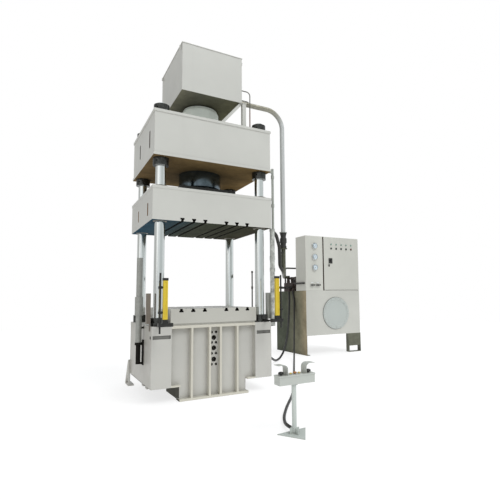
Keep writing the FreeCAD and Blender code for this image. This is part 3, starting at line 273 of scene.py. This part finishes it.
BODY = s2l(196, 196, 190)
M = {
    "frame_paint": paint("frame_paint", BODY),
    # unit_paint's box paints the cabinet's door gap dark brown: painted shade
    "unit_paint": paint("unit_paint", s2l(201, 201, 193), soil_shade_amt=0.4, patch=(3.7316, 3.775, 1.9475, 1.985, (0.075, 0.050, 0.036), 1.0)),
    "cover_paint": paint("cover_paint", s2l(192, 198, 194), soil_shade_amt=0.5, ao_dist=0.04),
    "stand_paint": paint("stand_paint", s2l(188, 195, 190), soil_shade_amt=0.5, ao_dist=0.04),
    "chrome_column": chrome("chrome_column", (0.93, 0.965, 0.95)),
    "ram_chrome": chrome("ram_chrome", (0.74, 0.77, 0.8)),
    "black_steel": metal("black_steel", (0.022, 0.022, 0.020), 0.38, 0.4, 0.35, 24),
    "bronze": metal("bronze", (0.105, 0.078, 0.046), 0.42, 0.2),
    "ejector_steel": metal("ejector_steel", (0.2, 0.2, 0.19), 0.45, 0.15, 0.3),
    "pipe_steel": metal("pipe_steel", (0.54, 0.555, 0.545), 0.36, 0.10, 0.35, 16, 0.05),
    "pipe_dark": metal("pipe_dark", (0.07, 0.066, 0.056), 0.42, 0.3, 0.5, 30),
    "sleeve_rubber": plastic("sleeve_rubber", (0.020, 0.020, 0.018), 0.55),
    "curtain_yellow": plastic("curtain_yellow", s2l(208, 182, 46), 0.42, 0.06),
    # grey_box is a dark brownish grey: painted shade on the switch boxes; parts with x from 0.5 to 1.5 and y from -1.5
    # to 0.5 take a paler grey
    "grey_box": paint("grey_box", s2l(112, 104, 95), soil_shade_amt=0.6, ao_dist=0.05, patch=(0.5, 1.5, -1.5, 0.5, s2l(168, 170, 163), 0.9)),
    "zinc_bolt": metal("zinc_bolt", (0.62, 0.64, 0.62), 0.32, 0.12),
    "lamp_trim": plastic("lamp_trim", (0.030, 0.030, 0.028), 0.35),
    "black_plastic": plastic("black_plastic", (0.018, 0.018, 0.017), 0.36, 0.2),
    "gauge_case": metal("gauge_case", (0.66, 0.67, 0.66), 0.2, 0.06, 1.0, 12, 0.02),
    "motor_paint": paint("motor_paint", (0.20, 0.235, 0.235), soil_shade_amt=0.6, ao_dist=0.05),
    "pump_iron": metal("pump_iron", (0.075, 0.075, 0.078), 0.55, 0.2, 0.2, 60, 0.3),
    "manifold_steel": metal("manifold_steel", (0.055, 0.040, 0.034), 0.45, 0.35, 0.4, 24, 0.12),
    "coil_black": plastic("coil_black", (0.022, 0.021, 0.020), 0.5),
    "button_amber": plastic("button_amber", s2l(170, 110, 52), 0.35, 0.1, coat=0.3),
    "button_yellow": plastic("button_yellow", s2l(214, 190, 96), 0.32, 0.08, coat=0.3),
    "hose_rubber": plastic("hose_rubber", (0.016, 0.016, 0.015), 0.48, 0.25, 0.45),
    "safety_steel": metal("safety_steel", (0.33, 0.335, 0.31), 0.42, 0.14, 0.3, 18, 0.06),
}


def cylinder_finish():
    """One casting: oiled dark steel below the crown, pale grey-green enamel above it."""
    k = Mat("cylinder_finish")
    z = k.sep(k.co)[2]
    up = k.math("GREATER_THAN", z, 3.9)
    nz = k.noise(4, 4, 0.6)
    pale = k.mix(k.maprange(nz, 0.35, 0.65, 0, 1), s2l(226, 233, 225), s2l(238, 244, 236))
    dark = k.mix(k.maprange(k.noise(9, 5, 0.65), 0.35, 0.7, 0, 1), (0.075, 0.100, 0.115), (0.17, 0.215, 0.245))
    col = k.mix(up, dark, pale)
    x = k.n("ShaderNodeMix", data_type="FLOAT")
    k.link(up, x.inputs[0])
    k.link(k.maprange(nz, 0.3, 0.7, 0.10, 0.18), x.inputs[2])
    k.link(k.maprange(nz, 0.3, 0.7, 0.40, 0.5), x.inputs[3])
    me = k.math("MULTIPLY", k.math("SUBTRACT", 1.0, up), 0.92)
    return k.out(col, x.outputs[0], me, k.bump(k.noise(300, 2), 0.04, 0.0006))


M["cylinder_steel"] = cylinder_finish()


def shade_and_grime(name, stops, axis=2, lo=0.0, hi=1.0, rough=0.85, mottle=0.3, spec=0.05):
    """Flat dark tones, mostly painted shade on undersides, slot walls, recesses and gaps, with some oily dust and real
    interior paint: a tone that drifts along one axis, with mottling on top.
    """
    k = Mat(name)
    v = k.maprange(k.sep(k.co)[axis], lo, hi, 0, 1)
    base = k.ramp(v, stops)
    nz = k.maprange(k.noise(3.6, 6, 0.7), 0.3, 0.7, 1 - mottle, 1 + mottle)
    g = k.n("ShaderNodeCombineXYZ")
    for i in range(3):
        k.link(nz, g.inputs[i])
    col = k.mix(1.0, base, g.outputs[0], "MULTIPLY")
    # painted shade: close to other parts the colour falls towards near black
    ao = k.n("ShaderNodeAmbientOcclusion", samples=6)
    ao.inputs["Distance"].default_value = 0.2
    col = k.mix(k.maprange(ao.outputs["AO"], 0.2, 0.9, 0.5, 0), col, (0.012, 0.011, 0.009))
    return k.out(col, rough, None, k.bump(k.noise(60, 4, 0.6), 0.12, 0.001), Specular_IOR_Level=spec)


# painted shade under the crown, slide, top tank, bed and power unit: dark tones drifting along one axis, brown under
# the crown, bluish to brownish under the slide
M["crown_under_shade"] = shade_and_grime("crown_under_shade", [(0.0, (0.165, 0.112, 0.052)), (0.5, (0.15, 0.104, 0.046)), (1.0, (0.205, 0.134, 0.052))], 0, -0.9, 0.9)
M["slide_under_shade"] = shade_and_grime("slide_under_shade", [(0.0, (0.020, 0.062, 0.098)), (0.22, (0.028, 0.052, 0.062)), (0.42, (0.042, 0.048, 0.030)), (1.0, (0.034, 0.031, 0.017))], 0, -0.9, 0.9)
M["tank_under_shade"] = shade_and_grime("tank_under_shade", [(0.0, (0.185, 0.178, 0.130)), (0.3, (0.100, 0.100, 0.076)), (1.0, (0.140, 0.136, 0.082))], 0, -0.48, 0.48)
M["plain_under_shade"] = shade_and_grime("plain_under_shade", [(0.0, (0.13, 0.128, 0.11)), (1.0, (0.13, 0.128, 0.11))])
# painted shade on the power unit's left faces: brownish at the front, darker olive towards the back
M["unit_left_face_shade"] = shade_and_grime("unit_left_face_shade", [(0.0, (0.34, 0.285, 0.19)), (0.35, (0.205, 0.195, 0.135)), (1.0, (0.088, 0.098, 0.074))], 1, 1.945, 2.9, mottle=0.3)
# painted shade inside slots, T-slots and the prop socket: near black, and very dark red in the crown's front side slots
M["slot_shade"] = shade_and_grime("slot_shade", [(0.0, (0.016, 0.015, 0.013)), (1.0, (0.016, 0.015, 0.013))])
M["slot_red_in_shade"] = shade_and_grime("slot_red_in_shade", [(0.0, (0.050, 0.024, 0.018)), (1.0, (0.050, 0.024, 0.018))])
M["slot_orange"] = shade_and_grime("slot_orange", [(0.0, (0.36, 0.16, 0.035)), (1.0, (0.30, 0.13, 0.03))])
# painted shade in the bed's front recesses and in the thin ring round the manhole cover: flat dark grey
M["recess_shade"] = shade_and_grime("recess_shade", [(0.0, (0.19, 0.19, 0.175)), (1.0, (0.19, 0.19, 0.175))])
# painted shade in the gap along the cabinet door's left edge: dark brown
M["door_gap_shade"] = shade_and_grime("door_gap_shade", [(0.0, (0.050, 0.034, 0.024)), (1.0, (0.050, 0.034, 0.024))])


def pipe_two_tone(name, upper, lower, z0, top=None):
    k = Mat(name)
    nz = k.noise(14, 5, 0.6)
    t = k.math("LESS_THAN", k.sep(k.co)[2], z0)
    col = k.mix(t, k.mix(nz, tuple(v * 0.9 for v in upper), tuple(v * 1.08 for v in upper)), k.mix(k.maprange(nz, 0.35, 0.68, 0, 1), tuple(v * 0.6 for v in lower), tuple(v * 1.5 for v in lower)))
    if top:
        stain = k.mix(k.maprange(nz, 0.3, 0.7, 0, 1), top[2], tuple(v * 0.7 for v in top[2]))
        col = k.mix(k.maprange(k.sep(k.co)[2], top[0], top[1], 0, 1), col, stain)
    return k.out(col, k.maprange(nz, 0.3, 0.7, 0.32, 0.46), 0.3, k.bump(nz, 0.05, 0.001))


M["return_pipe_two_tone"] = pipe_two_tone("return_pipe_two_tone", (0.54, 0.555, 0.545), (0.085, 0.088, 0.060), 2.42, (4.24, 4.46, (0.33, 0.315, 0.245)))
M["conduit_grey"] = pipe_two_tone("conduit_grey", (0.36, 0.375, 0.34), (0.42, 0.43, 0.40), 2.41)


def small_lines():
    """Thin drain tubes by the upper tank are pale and brownish; the lines near the power unit are black."""
    k = Mat("small_lines")
    x, y, z = k.sep(k.co)
    up = k.math("GREATER_THAN", z, 3.9)
    red = k.math("LESS_THAN", z, 4.34)
    pale = k.mix(red, (0.115, 0.112, 0.092), (0.19, 0.085, 0.055))
    nz = k.noise(30, 4, 0.6)
    dark = k.mix(nz, (0.012, 0.012, 0.010), (0.040, 0.038, 0.032))
    return k.out(k.mix(up, dark, pale), k.maprange(nz, 0.3, 0.7, 0.35, 0.5), 0.15, k.bump(nz, 0.06, 0.001))


M["small_lines"] = small_lines()


def fittings():
    """Lamp lenses are green glass, the button bezels dark."""
    k = Mat("door_trim")
    x, y, z = k.sep(k.co)
    lens = k.math("MULTIPLY", k.math("GREATER_THAN", z, 2.60), k.math("LESS_THAN", y, 1.9365))
    nz = k.noise(80, 2)
    col = k.mix(lens, k.mix(nz, (0.020, 0.020, 0.018), (0.045, 0.045, 0.040)), k.mix(nz, (0.10, 0.26, 0.20), (0.20, 0.42, 0.34)))
    return k.out(col, k.maprange(nz, 0.3, 0.7, 0.2, 0.35), None, None, Coat_Weight=0.3)


M["door_trim"] = fittings()
M["dial_white"] = plastic("dial_white", (0.62, 0.70, 0.74), 0.35, 0.05)
M["dial_black"] = plastic("dial_black", (0.012, 0.012, 0.014), 0.4)
M["dial_blue"] = plastic("dial_blue", (0.10, 0.22, 0.38), 0.4)
M["plate_white"] = plastic("plate_white", (0.72, 0.73, 0.72), 0.35, 0.04)
M["button_dark"] = plastic("button_dark", (0.022, 0.035, 0.030), 0.3, 0.2, coat=0.3)
M["button_red"] = plastic("button_red", (0.16, 0.025, 0.018), 0.3, 0.2, coat=0.3)
M["ring_gloss"] = metal("ring_gloss", (0.20, 0.26, 0.30), 0.14, 0.3, 0.9, 9, 0.03)
M["nut_steel"] = metal("nut_steel", (0.060, 0.062, 0.058), 0.24, 0.45, 0.8, 30, 0.08)
# a darker copy of the enamel for the bed's left end faces: painted shade
M["left_face_shade_paint"] = paint("left_face_shade_paint", s2l(170, 168, 160), soil_shade_amt=0.6)
M["weld"] = paint("weld", s2l(186, 185, 176), soil_shade_color=(0.13, 0.115, 0.07), soil_shade_amt=0.8, ao_dist=0.03)


# darker copies of the enamels for the bed, bolster, power-unit tank, cabinet door, manhole lid and pedestal box:
# painted shade; bed_paint also paints its rib fronts between x -0.615 and 0.615 a lighter, yellower tone: painted
# highlight
M["bed_paint"] = paint("bed_paint", s2l(187, 186, 180), patch=(-0.6150, 0.6150, -0.80, -0.70, s2l(203, 199, 184), 0.7))
M["bolster_paint"] = paint("bolster_paint", s2l(183, 182, 174))
M["low_tank_paint"] = paint("low_tank_paint", s2l(194, 194, 187), low=(0.4552, (0.125, 0.128, 0.088)))
# door_paint's box paints the door's left gap dark brown: painted shade
M["door_paint"] = paint("door_paint", s2l(196, 196, 188), patch=(3.70, 3.7664, 1.9465, 1.985, (0.085, 0.058, 0.042), 1.0))
M["lid_paint"] = paint("lid_paint", s2l(177, 183, 179))
M["stand_tone"] = paint("stand_tone", s2l(181, 185, 179))

USE = dict(SLOT_OF)
# prop_socket takes the near-black slot tone: painted shade in the slot it stands in
USE.update({"safety_prop": "safety_steel", "limit_rod": "pipe_dark", "return_pipe": "return_pipe_two_tone", "corner_pipe": "conduit_grey",
            "control_pipes": "small_lines", "door_fittings": "door_trim", "gland_ring": "ring_gloss", "prop_socket": "slot_shade",
            "push_button_e": "button_red", "inner_nuts": "nut_steel", "end_nuts": "nut_steel"})
USE.update({"bed_weldment": "bed_paint", "bolster_plate": "bolster_paint", "unit_tank": "low_tank_paint", "cabinet_door": "door_paint",
            "manhole_cover": "lid_paint", "pedestal_box": "stand_tone"})
for k_ in "abcd":
    USE["push_button_" + k_] = "button_dark"
for n, ob in NODES.items():
    ob.data.materials.clear()
    ob.data.materials.append(M[USE[n]])
hose.data.materials.append(M["hose_rubber"])
cable.data.materials.append(M["hose_rubber"])


# ---------------------------------------------------------------- mesh helpers
def mesh_object(name, verts, faces, mat, body, smooth=None):
    me = bpy.data.meshes.new(name)
    me.from_pydata([tuple(v) for v in verts], [], faces)
    me.validate()
    me.update()
    if smooth is not None:
        for p_ in me.polygons:
            p_.use_smooth = True
        me.set_sharp_from_angle(angle=R(smooth))
    me.materials.append(mat)
    ob = bpy.data.objects.new(name, me)
    bpy.context.scene.collection.objects.link(ob)
    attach(ob, body)
    return ob


def refine(node, width=0.004, segs=2, dissolve=0.6, angle=32, pick=None):
    """The node's own faces with rolled edges: planar faces merged, every sharp edge rounded a few millimetres."""
    src = NODES[node]
    bm = bmesh.new()
    bm.from_mesh(src.data)
    bmesh.ops.remove_doubles(bm, verts=bm.verts, dist=0.00004)
    bmesh.ops.dissolve_limit(bm, angle_limit=R(dissolve), verts=bm.verts, edges=bm.edges, use_dissolve_boundaries=False)
    verts = [v.co.copy() for v in bm.verts]
    bm.verts.index_update()
    faces = [[v.index for v in f.verts] for f in bm.faces]
    bm.free()
    ob = mesh_object(node + "_finished", verts, faces, M[USE[node]], BODY_OF[node])
    md = ob.modifiers.new("edge", "BEVEL")
    md.width = width
    md.segments = segs
    md.limit_method = "ANGLE"
    md.angle_limit = R(angle)
    md.use_clamp_overlap = False
    md.harden_normals = False
    md.miter_outer = "MITER_SHARP"
    wn = ob.modifiers.new("wn", "WEIGHTED_NORMAL")
    wn.weight = 100
    wn.keep_sharp = True
    for p_ in ob.data.polygons:
        p_.use_smooth = True
    dg = bpy.context.evaluated_depsgraph_get()
    me = bpy.data.meshes.new_from_object(ob.evaluated_get(dg), depsgraph=dg)
    ob.modifiers.clear()
    old = ob.data
    ob.data = me
    bpy.data.meshes.remove(old)
    if pick:
        index = {}
        for p_ in me.polygons:
            key = pick(p_.center, p_.normal)
            if key:
                if key not in index:
                    me.materials.append(M[key])
                    index[key] = len(me.materials) - 1
                p_.material_index = index[key]
    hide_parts(node)
    return ob


# ---------------------------------------------------------------- floor, light, sky
def stage():
    r, n = 16.0, 96
    vs = [(2.0 + r * math.cos(2 * math.pi * k / n), 1.0 + r * math.sin(2 * math.pi * k / n), -0.002) for k in range(n)]
    me = bpy.data.meshes.new("floor")
    me.from_pydata(vs, [], [list(range(n))])
    ob = bpy.data.objects.new("floor", me)
    bpy.context.scene.collection.objects.link(ob)
    k = Mat("floor_pale")
    k.out(k.mix(k.maprange(k.noise(0.7, 3), 0.3, 0.7, 0, 1), (0.32, 0.32, 0.32), (0.34, 0.34, 0.34)), 0.8, Specular_IOR_Level=0.1, Emission_Color=(1, 1, 1, 1), Emission_Strength=0.74)
    me.materials.append(k.m)

    sc = bpy.context.scene
    w = bpy.data.worlds.new("studio")
    sc.world = w
    w.use_nodes = True
    nt = w.node_tree
    bg = nt.nodes["Background"]
    tc = nt.nodes.new("ShaderNodeTexCoord")
    sp = nt.nodes.new("ShaderNodeSeparateXYZ")
    nt.links.new(tc.outputs["Generated"], sp.inputs[0])
    # a soft box of even white, with a darker flag to one side so that bright metal has something to show
    dot = nt.nodes.new("ShaderNodeVectorMath")
    dot.operation = "DOT_PRODUCT"
    a = R(-62)
    dot.inputs[1].default_value = (math.cos(a), math.sin(a), 0.0)
    nt.links.new(tc.outputs["Generated"], dot.inputs[0])
    rp = nt.nodes.new("ShaderNodeValToRGB")
    e = rp.color_ramp.elements
    e[0].position, e[0].color = 0.55, (0.80, 0.82, 0.84, 1)
    e[1].position, e[1].color = 0.97, (0.50, 0.53, 0.53, 1)
    nt.links.new(dot.outputs["Value"], rp.inputs["Fac"])
    dl = nt.nodes.new("ShaderNodeVectorMath")
    dl.operation = "DOT_PRODUCT"
    dl.inputs[1].default_value = (-0.93, 0.36, 0.0)
    nt.links.new(tc.outputs["Generated"], dl.inputs[0])
    rl = nt.nodes.new("ShaderNodeValToRGB")
    e = rl.color_ramp.elements
    e[0].position, e[0].color = 0.0, (1, 1, 1, 1)
    e[1].position, e[1].color = 0.75, (0.60, 0.585, 0.565, 1)
    nt.links.new(dl.outputs["Value"], rl.inputs["Fac"])
    ml = nt.nodes.new("ShaderNodeMix")
    ml.data_type, ml.blend_type = "RGBA", "MULTIPLY"
    ml.inputs[0].default_value = 1.0
    nt.links.new(rp.outputs["Color"], ml.inputs[6])
    nt.links.new(rl.outputs["Color"], ml.inputs[7])
    lp = nt.nodes.new("ShaderNodeLightPath")
    mx = nt.nodes.new("ShaderNodeMix")
    mx.data_type = "RGBA"
    nt.links.new(lp.outputs["Is Camera Ray"], mx.inputs[0])
    nt.links.new(ml.outputs[2], mx.inputs[6])
    mx.inputs[7].default_value = (1, 1, 1, 1)
    nt.links.new(mx.outputs[2], bg.inputs["Color"])
    bg.inputs["Strength"].default_value = 1.0
    sc.view_settings.view_transform = "Standard"
    sc.view_settings.look = "None"

    def sun(name, direction, strength, angle, color=(1, 1, 1)):
        d = bpy.data.lights.new(name, "SUN")
        d.energy, d.angle, d.color = strength, R(angle), color
        o = bpy.data.objects.new(name, d)
        o.rotation_mode = "QUATERNION"
        o.rotation_quaternion = Vector(direction).to_track_quat("-Z", "Y")
        sc.collection.objects.link(o)

    sun("key", (-0.25, 0.62, -0.75), 1.1, 28)
    sun("fill", (0.9, 0.45, -0.5), 0.25, 50)


stage()

# ---------------------------------------------------------------- refined castings and weldments
def in_tee(c, z0, z1):
    return z0 < c.z < z1 and abs(c.y) < 0.75 and any(abs(abs(c.x) - x0) <= 0.0295 for x0 in (0.160, 0.325, 0.490))


# crown: painted shade on the undersides and inside the side slots
def pick_crown(c, n):
    if n.z < -0.7 and c.z < 3.345:
        return "crown_under_shade"
    if 0.80 < abs(c.x) < 0.8893 and (-0.492 < c.y < -0.430 or 0.203 < c.y < 0.257) and 3.50 < c.z < 3.77:
        return "slot_red_in_shade" if c.y < 0 else "slot_shade"


# slide: painted shade in the T-slots and on the undersides; the side slots take the orange interior paint
def pick_slide(c, n):
    if in_tee(c, 2.433, 2.515):
        return "slot_shade"
    if n.z < -0.7 and c.z < 2.45:
        return "slide_under_shade"
    if 0.80 < abs(c.x) < 0.8993 and (-0.490 < c.y < -0.428 or 0.184 < c.y < 0.236) and 2.52 < c.z < 2.715:
        return "slot_orange"


# bed: painted shade in the front recesses, the slots, on the undersides, the foot's left face and the left end faces
def pick_bed(c, n):
    if -0.7605 < c.y < -0.744 and 0.834 < c.z < 0.881 and abs(c.x) > 0.6:
        return "recess_shade"
    if abs(c.x) > 0.868 and -0.7605 < c.y < -0.66 and 0.836 < c.z < 0.876 and abs(c.x) < 0.8825:
        return "recess_shade"
    if 0.85 < abs(c.x) < 0.8825 and -0.047 < c.y < 0.007 and 0.455 < c.z < 0.725:
        return "slot_shade"
    if abs(c.x) < 0.11 and -0.684 < c.y < -0.6 and 0.38 < c.z < 0.95 and abs(n.y) < 0.6:
        return "slot_shade"
    if n.z < -0.7 and c.z < 0.25:
        return "plain_under_shade"
    if n.x < -0.7 and c.z < 0.20 and -0.52 < c.x < -0.45:
        return "plain_under_shade"
    if n.x < -0.7 and c.x < -0.87:
        return "left_face_shade_paint"


# bolster: painted shade in the T-slots
def pick_bolster(c, n):
    if in_tee(c, 1.13, 1.2262):
        return "slot_shade"


# top tank: painted shade on the undersides
def pick_tank(c, n):
    if n.z < -0.7 and c.z < 4.45:
        return "tank_under_shade"


# power unit: painted shade on the left faces and undersides
def pick_unit(c, n):
    if n.x < -0.7 and c.x < 3.26:
        return "unit_left_face_shade"
    if n.z < -0.7 and c.z < 0.5:
        return "plain_under_shade"


# cabinet: painted shade in the door gap
def pick_cabinet(c, n):
    if 3.729 < c.x < 3.7935 and 1.9455 < c.y < 2.05 and n.y < 0.3 and 1.52 < c.z < 2.83:
        return "door_gap_shade"


for n, w, p in (("bed_weldment", 0.004, pick_bed), ("bolster_plate", 0.003, pick_bolster), ("crown_weldment", 0.004, pick_crown),
                ("slide_weldment", 0.003, pick_slide), ("top_tank", 0.003, pick_tank), ("unit_tank", 0.003, pick_unit),
                ("cabinet_shell", 0.003, pick_cabinet)):
    refine(n, w, pick=p)


# ---------------------------------------------------------------- weld beads of the bed
class Builder:
    def __init__(self):
        self.v, self.f, self.m = [], [], []

    def tri_bead(self, a, b, u, w, size, step=0.012):
        """A fillet weld from a to b lying in the corner whose two faces run off along u and w."""
        a, b, u, w = Vector(a), Vector(b), Vector(u), Vector(w)
        n = max(2, int((b - a).length / step))
        i0 = len(self.v)
        for k in range(n + 1):
            p = a.lerp(b, k / n)
            s_ = size * (0.86 + 0.14 * math.sin(k * 2.1) * math.cos(k * 0.7))
            self.v += [p - (u + w) * 0.0008, p + u * s_ - w * 0.0008, p + (u + w) * s_ * 0.58, p + w * s_ - u * 0.0008]
        for k in range(n):
            q = i0 + 4 * k
            for j in range(4):
                self.f.append([q + j, q + (j + 1) % 4, q + 4 + (j + 1) % 4, q + 4 + j])
                self.m.append(0)
        e = i0 + 4 * n
        self.f += [[i0 + 3, i0 + 2, i0 + 1, i0], [e, e + 1, e + 2, e + 3]]
        self.m += [0, 0]

    def done(self, name, mats, body, slot, smooth=None):
        me = bpy.data.meshes.new(name)
        me.from_pydata([tuple(v) for v in self.v], [], self.f)
        for m in mats:
            me.materials.append(m)
        for p_, i in zip(me.polygons, self.m):
            p_.material_index = i
        bm = bmesh.new()
        bm.from_mesh(me)
        bmesh.ops.recalc_face_normals(bm, faces=bm.faces)
        bm.to_mesh(me)
        bm.free()
        if smooth is not None:
            for p_ in me.polygons:
                p_.use_smooth = True
            me.set_sharp_from_angle(angle=R(smooth))
        ob = bpy.data.objects.new(name, me)
        bpy.context.scene.collection.objects.link(ob)
        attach(ob, body)
        return ob

    def prism(self, ring, y0, y1, mi=0):
        """A flat plate whose outline lies in X-Z, from y0 (front) to y1 (back)."""
        i0, n = len(self.v), len(ring)
        self.v += [Vector((x, y0, z)) for x, z in ring] + [Vector((x, y1, z)) for x, z in ring]
        self.f.append([i0 + k for k in range(n)])
        self.f.append([i0 + n + k for k in reversed(range(n))])
        self.m += [mi, mi]
        for k in range(n):
            self.f.append([i0 + (k + 1) % n, i0 + k, i0 + n + k, i0 + n + (k + 1) % n])
            self.m.append(mi)


bm_ = Builder()
for x in (-0.335, -0.08, 0.08, 0.335):
    for sx in (-1, 1):
        for sy in (-1, 1):
            bm_.tri_bead((x + sx * 0.015, sy * 0.685, 0.031), (x + sx * 0.015, sy * 0.685, 0.962), (sx, 0, 0), (0, sy, 0), 0.009)
for sx in (-1, 1):
    for sy in (-1, 1):
        bm_.tri_bead((sx * 0.615, sy * 0.685, 0.217), (sx * 0.615, sy * 0.685, 0.962), (-sx, 0, 0), (0, sy, 0), 0.010)
        for xa, xb in ((0.352, 0.614), (0.097, 0.318)):
            bm_.tri_bead((sx * xa, sy * 0.685, 0.963), (sx * xb, sy * 0.685, 0.963), (0, sy, 0), (0, 0, -1), 0.009)
bm_.done("bed_weld_beads", [M["weld"]], "frame", "frame_paint", 40)

# ---------------------------------------------------------------- gauges
for k, z in enumerate((2.586, 2.319, 2.066)):
    g, cx, yf = Builder(), 3.495, 1.909
    circ = lambda r, n=48, a0=0.0, a1=360.0: [(cx + r * math.sin(R(a0 + (a1 - a0) * i / n)), z + r * math.cos(R(a0 + (a1 - a0) * i / n))) for i in range(n + (a1 - a0 < 360))]
    g.prism(circ(0.0612), yf - 0.0012, yf - 0.0002, 0)
    arc = lambda r0, r1, a0, a1, n: circ(r1, n, a0, a1) + circ(r0, n, a0, a1)[::-1]
    for j in range(10):
        g.prism(arc(0.0505, 0.0550, -135 + 27 * j, -135 + 27 * (j + 1) - 1.2, 4), yf - 0.0018, yf - 0.0012, 2)
    for j in range(21):
        a = R(-135 + 13.5 * j)
        r0, r1, w_ = (0.040 if j % 2 == 0 else 0.045), 0.0495, (0.0011 if j % 2 == 0 else 0.0006)
        d, e_ = (math.sin(a), math.cos(a)), (math.cos(a), -math.sin(a))
        g.prism([(cx + d[0] * r + e_[0] * q * w_, z + d[1] * r + e_[1] * q * w_) for r, q in ((r0, -1), (r1, -1), (r1, 1), (r0, 1))], yf - 0.0018, yf - 0.0012, 1)
    a = R(-135)
    d, e_ = (math.sin(a), math.cos(a)), (math.cos(a), -math.sin(a))
    g.prism([(cx + d[0] * r + e_[0] * q, z + d[1] * r + e_[1] * q) for r, q in ((-0.014, -0.0022), (0.046, -0.0007), (0.046, 0.0007), (-0.014, 0.0022))], yf - 0.0030, yf - 0.0020, 1)
    g.prism(circ(0.0062, 20), yf - 0.0042, yf - 0.0012, 1)
    # a dark crescent inside the rim at the lower left: painted shadow of the bezel
    g.prism(circ(0.0612, 20, 185, 275) + circ(0.0560, 20, 190, 270)[::-1], yf - 0.0024, yf - 0.0012, 1)
    g.done("gauge_dial_%d" % (k + 1), [M["dial_white"], M["dial_black"], M["dial_blue"]], "frame", "gauge_case", 40)

# ---------------------------------------------------------------- small plates, door latch, painted shadow ring round the manhole cover
g = Builder()
for cx in (3.417, 3.574):
    g.prism([(cx - 0.034, 1.692), (cx + 0.034, 1.692), (cx + 0.034, 1.714), (cx - 0.034, 1.714)], 1.9434, 1.9452, 0)
g.done("knob_plates", [M["plate_white"]], "frame", "unit_paint", 40)
g = Builder()
for x0, z0, z1, y0 in ((3.905, 2.098, 2.158, 1.936), (3.913, 2.106, 2.150, 1.920)):
    g.prism([(x0, z0), (7.836 - x0, z0), (7.836 - x0, z1), (x0, z1)], y0, 1.9452, 0)
g.done("door_latch", [M["black_plastic"]], "door", "black_plastic", 40)
# a thin dark grey ring round the manhole cover: painted shadow of its rim
g = Builder()
ring = lambda r, n=96: [(4.094 + r * math.sin(2 * math.pi * i / n), 0.965 + r * math.cos(2 * math.pi * i / n)) for i in range(n)]
o_, i_ = ring(0.3905), ring(0.3790)
for k in range(96):
    j = (k + 1) % 96
    g.prism([o_[k], o_[j], i_[j], i_[k]], 1.9432, 1.9452, 0)
g.done("cover_rim_shadow", [M["recess_shade"]], "frame", "cover_paint", 40)
